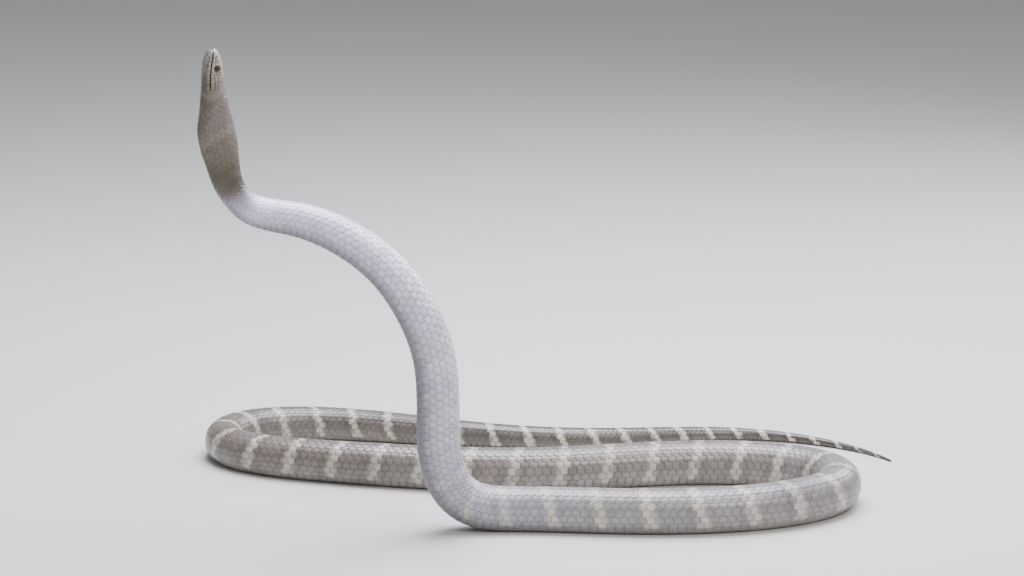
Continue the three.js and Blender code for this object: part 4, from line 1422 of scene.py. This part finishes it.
class HeadShields:
    """The large shields of the head, each a crowned plate with a rounded rim, and the net they fill."""

    RIM_STEPS = (0.85, 0.45, 0.2, 0.06, 0.0)
    INNER = (0.3, 0.58, 0.82)
    GRID = PlateGrid((0.0,) * (len(RIM_STEPS) + len(INNER)), 44)
    LIFT = 0.5
    EDGE_DROP = 0.38
    EDGE_WIDTH = 0.62
    FOOT = -0.5
    HALF_GAP = 0.15
    CORNER = 1.0
    SHADE_WIDTH = 0.75
    # A shield whose rim comes nearer than this to its middle has a lower crown.
    FULL_CROWN = 3.0
    UNWRAP_LENGTH = 60.0

    def __init__(self, surface: BodySurface) -> None:
        """Find every corner's station and angle.

        Args:
            surface: the body's surface.
        """
        self.surface = surface
        self.flat = FlatMap(surface)
        self.places = {name: self.place(*corner) for name, corner in CORNERS.items()}

    def place(self, measure: Measure, first: float, second: float) -> tuple:
        """Place a corner on the snake's left.

        Args:
            measure: how the corner is measured.
            first: its first number, as the measure says.
            second: its second number.

        Returns:
            Station, and angle in radians.
        """
        surface, s = self.surface, np.array(float(first))
        if measure in (EYE, NOSTRIL):
            relief, at = surface.relief, math.radians(first)
            middle, height, radius = relief.eye_station, relief.eye_height, second
            if measure is NOSTRIL:
                middle, height = relief.nostril_station, relief.nostril_height
                radius = second * relief.nostril_radius
            s = np.array(middle + radius * math.cos(at))
            level = np.array(height + radius * math.sin(at))
            return float(s), float(surface.turn_at_height(s, level))
        if measure is CROWN:
            return first, float(surface.turn_at_reach(s, np.array(float(second))))
        if measure is THROAT:
            return first, math.pi - float(surface.turn_at_reach(s, np.array(float(second))))
        height = second + (float(surface.mouth(s)[..., 0]) if measure is LIP else 0)
        return first, float(surface.turn_at_height(s, np.array(height)))

    def outline(self, shield: HeadShield) -> np.ndarray:
        """The left shield's corners, run on round the middle if mirrored.

        Args:
            shield: the shield.

        Returns:
            Rows of station and angle.
        """
        path = np.array([self.places[name] for name in shield.corners.split()])
        if not shield.mirrored:
            return path
        across = [k for k in range(len(path) - 1, -1, -1) if 1e-6 < path[k, 1] < math.pi - 1e-6]
        return np.vstack([path, path[across] * (1, -1)])

    def covers(self, s: np.ndarray, turn: np.ndarray) -> np.ndarray:
        """Test places on the head against all shields.

        Args:
            s: stations.
            turn: angles in radians.

        Returns:
            Whether each place is under a shield.
        """
        turn = np.abs(np.arctan2(np.sin(turn), np.cos(turn)))
        points = self.to_flat(Laid.FROM_BACK, s, turn)
        under = np.zeros(len(points), bool)
        for shield in SHIELDS.values():
            left_half = self.outline(shield)[:len(shield.corners.split())]
            under |= inside(points, self.to_flat(Laid.FROM_BACK, *left_half.T))
        return under

    def to_flat(self, laid: Laid, s: np.ndarray, turn: np.ndarray) -> np.ndarray:
        """Lay places flat.

        Args:
            laid: how.
            s: stations.
            turn: angles in radians.

        Returns:
            Pairs of flat coordinates.
        """
        if laid is Laid.FROM_FRONT:
            x, y, _, _ = self.surface.section(s, turn)
            return np.stack([x, y], axis=-1)
        distance = self.flat.lay(s, turn)
        if laid is Laid.FROM_BELLY:
            distance = np.sign(turn) * (self.flat.girth(s) - np.abs(distance))
        return np.stack([s, distance], axis=-1)

    def from_flat(self, laid: Laid, first: np.ndarray, second: np.ndarray) -> tuple:
        """Turn flat places back.

        Args:
            laid: how they were laid.
            first: their first coordinates.
            second: their second coordinates.

        Returns:
            Stations, and angles in radians.
        """
        if laid is Laid.FROM_FRONT:
            return self.surface.from_front(first, second)
        if laid is Laid.FROM_BELLY:
            second = np.where(second < 0, -1, 1) * (self.flat.girth(first) - np.abs(second))
        return first, self.flat.lift(first, second)

    def one(self, shield: HeadShield, side: int) -> tuple:
        """Draw one shield.

        The outline is laid flat, shrunk by half the gap and rounded. Rings follow the rim at set
        distances, and further rings fill up the middle. The height is a crown, which falls with the
        square of the way to the rim, less a drop beside the rim.

        Args:
            shield: the shield.
            side: 1 for the snake's left, -1 for its right.

        Returns:
            Stations, angles, heights and rim values of its points.
        """
        flat = self.to_flat(shield.laid, *(self.outline(shield) * (1, side)).T)
        flat = flat if turned_area(flat) > 0 else flat[::-1]
        rim = softened(shrunk(flat, self.HALF_GAP), self.CORNER, self.GRID.points)
        if shield.laid is not Laid.FROM_BACK:
            rim = rim[::-1]
        centre = rim.mean(axis=0)
        length = np.linalg.norm(rim - centre, axis=-1)
        start = 1 - np.minimum(self.RIM_STEPS[0] / length, 0.5)
        steps = np.array(self.RIM_STEPS) / self.RIM_STEPS[0]
        shares = np.vstack([np.outer(self.INNER, start), 1 - np.outer(steps, 1 - start)])
        rings = centre + shares[..., None] * (rim - centre)
        flat = np.vstack([centre[None], rings.reshape(-1, 2), rim, centre[None]])
        share = np.concatenate([[0], shares.ravel(), np.ones(len(rim) + 1)])
        spoke = np.concatenate([[length.mean()], np.tile(length, len(shares) + 1), [length.mean()]])
        to_rim = (1 - share) * spoke
        near_rim = 1 - smoothstep(0, self.EDGE_WIDTH, to_rim)
        crown = shield.crown * min(1.0, length.min() / self.FULL_CROWN)
        height = self.LIFT + crown * (1 - share ** 2) - self.EDGE_DROP * near_rim ** 1.6
        sunk = np.arange(len(share)) > len(shares) * self.GRID.points
        height = np.where(sunk, self.FOOT, height)
        station, turn = self.from_flat(shield.laid, *flat.T)
        return station, turn, height, 1 - smoothstep(0, self.SHADE_WIDTH, to_rim)

    def build(self, material: bpy.types.Material, random: np.random.Generator) -> None:
        """Make every shield as one piece.

        Args:
            material: the shields' material.
            random: draws each shield's tone.
        """
        made = []
        for shield in SHIELDS.values():
            sides = (1,) if shield.mirrored else (1, -1)
            made.extend(self.one(shield, side) for side in sides)
        station, turn, height, edge = (np.stack(part) for part in zip(*made))
        raised = height - self.surface.depth(station)[..., 0]
        u = UV_MARGIN + UV_SHARE * station / self.UNWRAP_LENGTH
        around = np.arctan2(np.sin(turn), np.cos(turn)) / (2 * math.pi) + 0.5
        v = around * UV_SHARE + UV_MARGIN
        plates = Plates(station, turn, raised, edge, np.stack([u, v], axis=-1))
        tone = random.uniform(-1, 1, len(station))
        piece = make_plates("head_shields", plates, self.GRID, self.surface,
                            {"tone": tone, "band": np.zeros(len(station))})
        finish_piece(piece, material)


class ThroatScales:
    """Small smooth scales under the head and beside the first belly scutes."""

    GRID = PlateGrid((0.5, 0.8, 0.94, 1.0), 14)
    PITCH = 4.3
    WIDTH = 3.5
    ROWS = 19
    FIRST = 20.0
    LAST = 97.0
    SHAPE = ScaleShape(length=1.5, width=1.25)
    BELOW_MOUTH = 4.4
    # Behind this station the flank's own rows begin, and these scales keep to the underside.
    JAW_END = 48.5
    # How far these scales reach under the flank's rows and the scutes.
    UNDER_ROWS = math.radians(4)
    UNDER_SCUTES = math.radians(3)
    UNDER_FIRST_SCUTE = 3.5
    LEAST_HALF = math.radians(3)
    UNWRAP_LENGTH = 100

    def __init__(self, surface: BodySurface, shields: HeadShields) -> None:
        """Keep the surface and the net of shields, which these scales go round."""
        self.surface = surface
        self.shields = shields

    def places(self) -> tuple:
        """Set out the scales that are clear of other plates.

        Rows lie at equal distances from the middle of the throat, and every other row is half a
        pitch further back.

        Returns:
            Middle station, angle and half width as an angle, of each scale.
        """
        count = int((self.LAST - self.FIRST) / self.PITCH)
        row, index = np.meshgrid(np.arange(self.ROWS), np.arange(count), indexing="ij")
        row, index = row.ravel(), index.ravel()
        s = self.FIRST + (index + 0.5 * (row % 2)) * self.PITCH
        off = (row - (self.ROWS - 1) / 2) * self.WIDTH
        flat = self.shields.flat
        girth = flat.girth(s)
        place = girth - np.abs(off)
        angle = flat.lift(s, place)
        wider = flat.lift(s, place - self.WIDTH / 2)
        half = np.maximum(angle - wider, self.LEAST_HALF)
        turn = math.pi - np.sign(off) * (math.pi - angle)
        mouth = self.surface.mouth(s)[..., 0]
        _, y, _, _ = self.surface.section(s, turn)
        below_lip = y < mouth - self.BELOW_MOUTH
        beside = (angle > ScaleRows.VENTRAL_EDGE - self.UNDER_ROWS) | (s < self.JAW_END)
        before_scutes = s < BellyScutes.FIRST + self.UNDER_FIRST_SCUTE
        clear = before_scutes | (math.pi - angle > BellyScutes.half_turn(s) - self.UNDER_SCUTES)
        keep = below_lip & beside & clear & ~self.shields.covers(s + 0.5 * self.PITCH, turn)
        return s[keep], turn[keep], half[keep]

    def build(self, material: bpy.types.Material, random: np.random.Generator) -> None:
        """Make the scales as one piece.

        Args:
            material: their material.
            random: draws each scale's tone.
        """
        s, turn, half = self.places()
        pitch = np.full(len(s), self.PITCH)
        plates = self.SHAPE.lay(s, turn, pitch, half, self.GRID, (0, self.UNWRAP_LENGTH))
        plates = plates._replace(uv=plates.uv * np.array(UV_UNDERSIDE))
        piece = make_plates("throat_scales", plates, self.GRID, self.surface,
                            {"tone": random.uniform(-1, 1, len(s)), "band": np.zeros(len(s))})
        finish_piece(piece, material)


class Eyes:
    """Two eyes: a globe with a round pupil and a bronze iris under one clear glossy scale."""

    RINGS = 40
    POINTS = 56
    IRIS_ANGLE = math.radians(60)
    # How far the eye's axis leans forward and up, against its reach outward.
    FORWARD = 0.16
    UPWARD = 0.08
    # The unwrap: the size of each half's disc, and where the front and the rear half lie.
    DISC = 0.22
    FRONT_UV = 0.25
    REAR_UV = 0.75

    def __init__(self, surface: BodySurface) -> None:
        """Keep the surface."""
        self.surface = surface

    def globe(self, name: str, side: int) -> bpy.types.Object:
        """Make one eye.

        A globe is centre + radius * (cos(a) * axis + sin(a) * (cos(b) * up + sin(b) * along)), with
        its axis outward and a little forward. Each half unwraps to a disc.

        Args:
            name: the piece's name.
            side: 1 for the snake's left, -1 for its right.

        Returns:
            The mesh object.
        """
        relief = self.surface.relief
        at = self.surface.line.frames(np.array(relief.eye_station))
        centre = at.origin + at.left * side * relief.eye_out + at.back * relief.eye_height
        axis = unit(at.left * side + at.forward * self.FORWARD + at.back * self.UPWARD)
        up = unit(at.back - axis * np.dot(at.back, axis))
        along = np.cross(axis, up)
        a = np.linspace(0, math.pi, self.RINGS + 2)[1:-1][:, None, None]
        b = (np.arange(self.POINTS) / self.POINTS * 2 * math.pi)[None, :, None]
        ball = np.cos(a) * axis + np.sin(a) * (np.cos(b) * up + np.sin(b) * along)
        poles = np.stack([axis, -axis])
        points = (centre + relief.eye_radius * np.vstack([ball.reshape(-1, 3), poles])) * MM
        quads, caps = (turned_over(faces) for faces in tube_faces(self.RINGS, self.POINTS))
        around = np.append(np.broadcast_to(a[..., 0], ball.shape[:2]).ravel(), [0, math.pi])
        offset = points / MM - centre
        flat = np.stack([offset @ up, offset @ along], axis=-1) / relief.eye_radius
        disc = np.where(around < math.pi / 2, self.FRONT_UV, self.REAR_UV)
        seen = flat * self.DISC + disc[:, None]
        corners = np.concatenate([quads.ravel(), caps.ravel()])
        values = {"iris": around / self.IRIS_ANGLE, "spoke_x": flat[:, 0], "spoke_y": flat[:, 1]}
        return build_mesh(name, MeshParts(points, quads, caps), values, seen[corners])

    def build(self, material: bpy.types.Material) -> None:
        """Make the left and right eye.

        Args:
            material: the eyes' material.
        """
        for side, name in ((1, "eye_left"), (-1, "eye_right")):
            eye = self.globe(f"{name}_globe", side)
            finish_piece(eye, material)
            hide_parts(name)


def srgb(code: str) -> tuple:
    """Turn a colour code into a linear colour, by the sRGB curve.

    Args:
        code: a hash sign and six digits.

    Returns:
        Red, green, blue and alpha.
    """
    parts = [int(code[i:i + 2], 16) / 255 for i in (1, 3, 5)]
    linear = [p / 12.92 if p <= 0.04045 else ((p + 0.055) / 1.055) ** 2.4 for p in parts]
    return (*linear, 1.0)


class NodeSheet:
    """Short calls that add and link shader nodes in one tree."""

    def __init__(self, tree: bpy.types.NodeTree) -> None:
        """Keep the tree."""
        self.tree = tree

    def add(self, kind: str, **settings: object) -> bpy.types.Node:
        """Add a node.

        Args:
            kind: its type.
            settings: its properties' names to their values.

        Returns:
            The node.
        """
        node = self.tree.nodes.new(kind)
        for key, value in settings.items():
            setattr(node, key, value)
        return node

    def put(self, socket: bpy.types.NodeSocket, value: object) -> None:
        """Link a socket to an output, or set its number.

        Args:
            socket: an input.
            value: an output, or a constant.
        """
        if isinstance(value, bpy.types.NodeSocket):
            self.tree.links.new(value, socket)
        else:
            socket.default_value = value

    def math(self, operation: str, *values: object, clamp: bool = False) -> bpy.types.NodeSocket:
        """Add a Math node.

        Args:
            operation: its operation.
            values: its inputs in order, each a number or an output to link.
            clamp: whether to keep the result between 0 and 1.

        Returns:
            Its output.
        """
        node = self.add("ShaderNodeMath", operation=operation, use_clamp=clamp)
        for socket, value in zip(node.inputs, values):
            self.put(socket, value)
        return node.outputs[0]

    def mix(self, share: object, first: object, second: object,
            blend: str = "MIX") -> bpy.types.NodeSocket:
        """Add a Mix node for colours.

        Args:
            share: how much of the second colour, or of the blend, there is.
            first: the first colour.
            second: the second colour.
            blend: the blend type.

        Returns:
            Its output.
        """
        node = self.add("ShaderNodeMix", data_type="RGBA", blend_type=blend)
        self.put(node.inputs["Factor"], share)
        self.put(node.inputs["A"], first)
        self.put(node.inputs["B"], second)
        return node.outputs["Result"]

    def steps(self, value: object, low: float, high: float, start: float = 0.0,
              end: float = 1.0) -> bpy.types.NodeSocket:
        """Add a smooth Map Range node.

        Args:
            value: what it reads.
            low: the value that gives start.
            high: the value that gives end.
            start: the result below low.
            end: the result above high.

        Returns:
            Its output.
        """
        node = self.add("ShaderNodeMapRange", interpolation_type="SMOOTHSTEP")
        for name, number in (("Value", value), ("From Min", low), ("From Max", high),
                             ("To Min", start), ("To Max", end)):
            self.put(node.inputs[name], number)
        return node.outputs["Result"]

    def noise(self, scale: float, detail: float) -> bpy.types.NodeSocket:
        """Add a Noise Texture over object coordinates.

        Args:
            scale: lumps to the metre.
            detail: how many finer layers it has.

        Returns:
            Its value.
        """
        place = self.add("ShaderNodeTexCoord")
        node = self.add("ShaderNodeTexNoise")
        self.put(node.inputs["Vector"], place.outputs["Object"])
        self.put(node.inputs["Scale"], scale)
        self.put(node.inputs["Detail"], detail)
        return node.outputs["Fac"]

    def attribute(self, name: str) -> bpy.types.NodeSocket:
        """A mesh attribute's number."""
        return self.add("ShaderNodeAttribute", attribute_name=name).outputs["Fac"]

    def ramp(self, value: object, stops: tuple) -> bpy.types.NodeSocket:
        """Add a colour ramp over the snake's length.

        Args:
            value: the share of the length.
            stops: pairs of a station in millimetres and a colour code.

        Returns:
            Its colour.
        """
        node = self.add("ShaderNodeValToRGB")
        marks = node.color_ramp.elements
        while len(marks) < len(stops):
            marks.new(1.0)
        for mark, (station, code) in zip(marks, stops):
            mark.position = station / LENGTH
            mark.color = srgb(code)
        self.put(node.inputs["Fac"], value)
        return node.outputs["Color"]


# Colours of the back and of the belly along the body, by station. On the back, the hooded neck's
# dark brown (about 134 to 210) is partly the snake's own brown and partly painted shade, the
# near-white lilac over the arch (224 to 560) is a painted sheen of sky light on its glossy top, and
# the darkening down the column (560 to 740) is partly painted shade. Further back the colours are
# the snake's own.
BACK_COLOURS_WITH_PAINTED_LIGHT = (
    (0, "#a59e99"), (18, "#a09893"), (34, "#877e76"), (50, "#6f655c"), (105, "#6e615c"),
    (134, "#6a5e56"), (147, "#61564b"), (160, "#504738"), (172, "#473e30"), (184, "#463c33"),
    (199, "#5e544e"), (224, "#a59eb4"), (266, "#e7dffc"), (440, "#e0d9f4"), (560, "#cdc8db"),
    (740, "#aba7b4"), (980, "#8e898d"), (1500, "#7e7774"), (2300, "#716863"),
    (2720, "#5e5753"), (3400, "#45403d"),
)
# The belly's dark throat and neck underside (about 34 to 208) and the dark grey under the arch (262 to
# 700) are painted shade; further back the belly's colours are its own.
BELLY_COLOURS_WITH_PAINTED_SHADE = (
    (0, "#8c857d"), (18, "#898279"), (34, "#736b60"), (46, "#575044"), (64, "#575044"),
    (78, "#6a6156"), (125, "#74695e"), (150, "#665b4f"), (172, "#494035"), (208, "#48413a"),
    (262, "#5c5861"), (700, "#646068"), (1000, "#918c8e"), (1400, "#a09a96"),
    (2700, "#938c85"), (3400, "#605a56"),
)
BAND_COLOUR = "#d3ccbb"


@dataclass(frozen=True)
class MarkingsGroup:
    """The shader group of the snake's markings, shared by skin, scales, scutes and shields.

    The back's colour blends into the belly's on the lower flank, a pale band lies over it, each
    scale is a little lighter or darker than the next, and its rim is darker. Clouds of two sizes
    break up the whole.
    """

    cloud_scale: float = 28
    fleck_scale: float = 420
    gloss_scale: float = 160
    noise_span: tuple = (0.3, 0.7)
    cloud_light: tuple = (0.9, 1.08)
    fleck_light: tuple = (0.87, 1.07)
    gloss_change: tuple = (-0.04, 0.05)
    edge_roughness: float = 0.12
    flank: tuple = (0.48, 0.82)
    raggedness: float = 0.1
    border_shade: float = 0.7

    def build(self) -> bpy.types.NodeTree:
        """Make the group.

        Returns:
            The group, with the outputs Color and Gloss Map.
        """
        group = bpy.data.node_groups.new("snake_markings", "ShaderNodeTree")
        for name in ("Station", "Away", "Band", "Tone", "Edge", "Edge Darkness", "Tone Spread"):
            group.interface.new_socket(name, in_out="INPUT", socket_type="NodeSocketFloat")
        group.interface.new_socket("Color", in_out="OUTPUT", socket_type="NodeSocketColor")
        group.interface.new_socket("Gloss Map", in_out="OUTPUT", socket_type="NodeSocketFloat")
        sheet = NodeSheet(group)
        source = sheet.add("NodeGroupInput").outputs
        target = sheet.add("NodeGroupOutput").inputs
        clouds = sheet.noise(self.cloud_scale, 3)
        flecks = sheet.noise(self.fleck_scale, 2)
        # The two ramps paint shade on the neck, the throat and under the arch, and a sheen of sky light
        # on the arch's top.
        back = sheet.ramp(source["Station"], BACK_COLOURS_WITH_PAINTED_LIGHT)
        belly = sheet.ramp(source["Station"], BELLY_COLOURS_WITH_PAINTED_SHADE)
        stray = sheet.math("MULTIPLY_ADD", clouds, self.raggedness, -self.raggedness / 2)
        ragged = sheet.math("ADD", source["Away"], stray)
        base = sheet.mix(sheet.steps(ragged, *self.flank), back, belly)
        pale = sheet.math("MAXIMUM", source["Band"], 0.0)
        border = sheet.math("MINIMUM", source["Band"], 0.0)
        banded = sheet.mix(pale, base, srgb(BAND_COLOUR))
        light = sheet.math("MULTIPLY_ADD", source["Tone"], source["Tone Spread"], 1.0)
        shade = sheet.math("MULTIPLY", source["Edge"], source["Edge Darkness"])
        for factor in (sheet.math("MULTIPLY_ADD", border, self.border_shade, 1.0),
                       sheet.steps(clouds, *self.noise_span, *self.cloud_light),
                       sheet.steps(flecks, *self.noise_span, *self.fleck_light),
                       sheet.math("SUBTRACT", 1.0, shade)):
            light = sheet.math("MULTIPLY", light, factor)
        grey = sheet.add("ShaderNodeCombineColor")
        for channel in grey.inputs:
            sheet.put(channel, light)
        sheet.put(target["Color"], sheet.mix(1.0, banded, grey.outputs["Color"], "MULTIPLY"))
        gloss = sheet.steps(sheet.noise(self.gloss_scale, 2), *self.noise_span, *self.gloss_change)
        rough = sheet.math("MULTIPLY_ADD", source["Edge"], self.edge_roughness, gloss)
        sheet.put(target["Gloss Map"], rough)
        return group


def new_material(name: str) -> tuple:
    """Start a material.

    Args:
        name: its name.

    Returns:
        The material, the sheet of its nodes and its shader.
    """
    material = bpy.data.materials.new(name)
    material.use_nodes = True
    tree = material.node_tree
    return material, NodeSheet(tree), tree.nodes["Principled BSDF"]


@dataclass(frozen=True)
class ScaleFinish:
    """The finish of one kind of plate, or of the skin between them."""

    name: str
    roughness: float
    edge_darkness: float
    tone_spread: float
    coat: float = 0.3
    grain: float = 1300
    grain_depth: float = 0.00004
    tint: str = "#ffffff"
    # Painted shade in the mouth's slit and the nostrils: whether it is laid on, and its colour.
    painted_slit_shade: bool = False
    slit_shade_colour: str = "#2a211d"
    coat_roughness: float = 0.22
    wear_share: float = 0.6
    bump_strength: float = 0.5

    def build(self, group: bpy.types.NodeTree) -> bpy.types.Material:
        """Make the material: the markings feed the colour, and a fine grain the bump.

        Args:
            group: the shader group of the markings.

        Returns:
            The material.
        """
        material, sheet, shader = new_material(self.name)
        marks = sheet.add("ShaderNodeGroup", node_tree=group)
        for socket, key in (("Station", "station"), ("Away", "away"), ("Band", "band"),
                            ("Tone", "tone"), ("Edge", "edge")):
            sheet.put(marks.inputs[socket], sheet.attribute(key))
        sheet.put(marks.inputs["Edge Darkness"], self.edge_darkness)
        sheet.put(marks.inputs["Tone Spread"], self.tone_spread)
        colour = sheet.mix(1.0, marks.outputs["Color"], srgb(self.tint), "MULTIPLY")
        # Painted shade: the mouth's slit and the nostrils are darkened where shade falls.
        if self.painted_slit_shade:
            colour = sheet.mix(sheet.attribute("mouth"), colour, srgb(self.slit_shade_colour))
        sheet.put(shader.inputs["Base Color"], colour)
        rough = sheet.math("ADD", marks.outputs["Gloss Map"], self.roughness, clamp=True)
        sheet.put(shader.inputs["Roughness"], rough)
        sheet.put(shader.inputs["Coat Weight"], self.coat)
        sheet.put(shader.inputs["Coat Roughness"], self.coat_roughness)
        fine = sheet.noise(self.grain, 4)
        wear = sheet.noise(self.grain / 5, 2)
        relief = sheet.math("MULTIPLY_ADD", wear, self.wear_share, fine)
        bumps = sheet.add("ShaderNodeBump")
        sheet.put(bumps.inputs["Strength"], self.bump_strength)
        sheet.put(bumps.inputs["Distance"], self.grain_depth)
        sheet.put(bumps.inputs["Height"], relief)
        sheet.put(shader.inputs["Normal"], bumps.outputs["Normal"])
        return material


@dataclass(frozen=True)
class EyeFinish:
    """Bronze iris, round pupil and dark outer ring under a glossy coat."""

    name: str = "eye"
    pupil: float = 0.44
    iris_end: float = 0.9
    pupil_colour: str = "#050404"
    ring_colour: str = "#7e6638"
    iris_colours: tuple = ("#291d12", "#5b4325")
    rim_colour: str = "#17100b"
    # The spokes' noise: its stretch round the pupil and outwards, its scale and its contrast.
    spoke_stretch: tuple = (6.0, 1.6)
    spoke_scale: float = 2.2
    spoke_span: tuple = (0.35, 0.65)
    ring_width: float = 0.14
    rim_width: float = 0.16
    raggedness: float = 0.02
    roughness: float = 0.3
    specular: float = 0.1
    coat: float = 0.3
    coat_roughness: float = 0.03

    def build(self) -> bpy.types.Material:
        """Make the material from the globe's own attributes.

        Returns:
            The material.
        """
        material, sheet, shader = new_material(self.name)
        away = sheet.attribute("iris")
        spokes = sheet.add("ShaderNodeTexNoise", noise_dimensions="2D")
        place = sheet.add("ShaderNodeCombineXYZ")
        angle = sheet.math("ARCTAN2", sheet.attribute("spoke_y"), sheet.attribute("spoke_x"))
        for socket, value, stretch in zip("XY", (angle, away), self.spoke_stretch):
            sheet.put(place.inputs[socket], sheet.math("MULTIPLY", value, stretch))
        sheet.put(spokes.inputs["Vector"], place.outputs["Vector"])
        sheet.put(spokes.inputs["Scale"], self.spoke_scale)
        streaks = sheet.steps(spokes.outputs["Fac"], *self.spoke_span)
        warm = sheet.mix(streaks, *(srgb(code) for code in self.iris_colours))
        near_pupil = sheet.steps(away, self.pupil, self.pupil + self.ring_width, 1.0, 0.0)
        iris = sheet.mix(near_pupil, warm, srgb(self.ring_colour))
        outside = sheet.steps(away, self.iris_end - self.rim_width, self.iris_end)
        dark = sheet.mix(outside, iris, srgb(self.rim_colour))
        stray = self.raggedness
        ragged = sheet.math("ADD", away, sheet.steps(spokes.outputs["Fac"], 0, 1, -stray, stray))
        open_pupil = sheet.steps(ragged, self.pupil - stray, self.pupil + stray)
        colour = sheet.mix(open_pupil, srgb(self.pupil_colour), dark)
        sheet.put(shader.inputs["Base Color"], colour)
        sheet.put(shader.inputs["Roughness"], self.roughness)
        sheet.put(shader.inputs["Specular IOR Level"], self.specular)
        sheet.put(shader.inputs["Coat Weight"], self.coat)
        sheet.put(shader.inputs["Coat Roughness"], self.coat_roughness)
        return material


class Panel(NamedTuple):
    """A square soft light, its size in metres and its power in watts."""

    name: str
    place: tuple
    size: float
    power: float
    tint: str


@dataclass(frozen=True)
class Studio:
    """Camera at the photograph's angle and scale, pale floor and soft light."""

    # A broad light from above, a softer one from the front right, and a rim from behind.
    PANELS = (
        Panel("sky_panel", (0.1, 0.6, 2.5), 2.0, 212, "#f4f7ff"),
        Panel("key_panel", (1.4, -2.1, 2.3), 1.6, 70, "#fffaf4"),
        Panel("rim_panel", (1.6, 2.0, 1.6), 1.2, 46, "#eef3ff"),
    )
    AIM = Vector((-0.1, 0.15, 0.3))
    ROOM_COLOUR = "#e3e5e8"
    ROOM_LIGHT = 0.5
    FLOOR_COLOURS = ("#c2c1be", "#c8c7c5")
    FLOOR_PATCHES = 1.5
    FLOOR_ROUGHNESS = 0.8
    FARTHEST = 100

    elevation: float = 12.0
    distance: float = 5.0
    frame_width: float = 1024
    frame_height: float = 576
    metres_per_pixel: float = 0.0013
    origin_pixel: tuple = (531.4, 532.0)
    sensor: float = 36.0
    floor_half: float = 30.0

    def camera(self) -> None:
        """Aim the camera at the point of the picture's middle in the plane through the origin."""
        tilt = math.radians(self.elevation)
        right = (self.frame_width / 2 - self.origin_pixel[0]) * self.metres_per_pixel
        up = (self.origin_pixel[1] - self.frame_height / 2) * self.metres_per_pixel / math.cos(tilt)
        data = bpy.data.cameras.new("camera")
        data.sensor_width = self.sensor
        data.lens = self.distance * self.sensor / self.frame_width / self.metres_per_pixel
        data.clip_end = self.FARTHEST
        camera = bpy.data.objects.new("camera", data)
        look = Vector((0, math.cos(tilt), -math.sin(tilt)))
        camera.location = Vector((right, 0, up)) - look * self.distance
        camera.rotation_euler = look.to_track_quat("-Z", "Y").to_euler()
        bpy.context.scene.collection.objects.link(camera)
        bpy.context.scene.camera = camera

    def floor(self) -> None:
        """A wide pale floor with a faint unevenness in its tone."""
        half = self.floor_half
        corners = np.array([[-half, -half, 0], [half, -half, 0], [half, half, 0], [-half, half, 0]])
        uv = (corners[:, :2] / half + 1) / 2
        parts = MeshParts(corners, np.array([[0, 1, 2, 3]]), np.zeros((0, 3), int))
        floor = build_mesh("floor", parts, {}, uv)
        material, sheet, shader = new_material("floor")
        patches = sheet.noise(self.FLOOR_PATCHES, 2)
        colour = sheet.mix(patches, *(srgb(code) for code in self.FLOOR_COLOURS))
        sheet.put(shader.inputs["Base Color"], colour)
        sheet.put(shader.inputs["Roughness"], self.FLOOR_ROUGHNESS)
        floor.data.materials.append(material)

    def lights(self) -> None:
        """Aim each panel at the snake's middle, and light the room evenly."""
        for panel in self.PANELS:
            data = bpy.data.lights.new(panel.name, "AREA")
            data.size = panel.size
            data.energy = panel.power
            data.color = srgb(panel.tint)[:3]
            lamp = bpy.data.objects.new(panel.name, data)
            lamp.location = panel.place
            look = self.AIM - Vector(panel.place)
            lamp.rotation_euler = look.to_track_quat("-Z", "Y").to_euler()
            bpy.context.scene.collection.objects.link(lamp)
        world = bpy.data.worlds.new("room")
        world.use_nodes = True
        background = world.node_tree.nodes["Background"]
        background.inputs["Color"].default_value = srgb(self.ROOM_COLOUR)
        background.inputs["Strength"].default_value = self.ROOM_LIGHT
        bpy.context.scene.world = world


def main() -> None:
    """Build the studio, the skin and everything that lies on it."""
    logging.basicConfig(level=logging.INFO, format="%(message)s")
    studio = Studio()
    studio.camera()
    studio.floor()
    studio.lights()
    group = MarkingsGroup().build()
    finishes = {
        "skin": ScaleFinish("skin", roughness=0.5, coat=0.1, edge_darkness=0.0, tone_spread=0.0,
                            grain=900, grain_depth=0.00012, tint="#8f8781", painted_slit_shade=True),
        "scale": ScaleFinish("scale", roughness=0.33, edge_darkness=0.42, tone_spread=0.07),
        "scute": ScaleFinish("scute", roughness=0.3, edge_darkness=0.3, tone_spread=0.05),
        "shield": ScaleFinish("shield", roughness=0.34, edge_darkness=0.5, tone_spread=0.1,
                              grain=1500, grain_depth=0.00005),
    }
    materials = {key: finish.build(group) for key, finish in finishes.items()}
    surface = BodySurface()
    markings = Markings()
    random = np.random.default_rng(SEED)
    Skin(surface, markings).build(materials["skin"])
    shields = HeadShields(surface)
    shields.build(materials["shield"], random)
    ThroatScales(surface, shields).build(materials["scute"], random)
    rows = ScaleRows(surface, markings, shields)
    rows.build(materials["scale"], random)
    BellyScutes(surface, rows).build(materials["scute"], materials["scale"], random)
    Eyes(surface).build(EyeFinish().build())


if __name__ == "__main__":
    main()
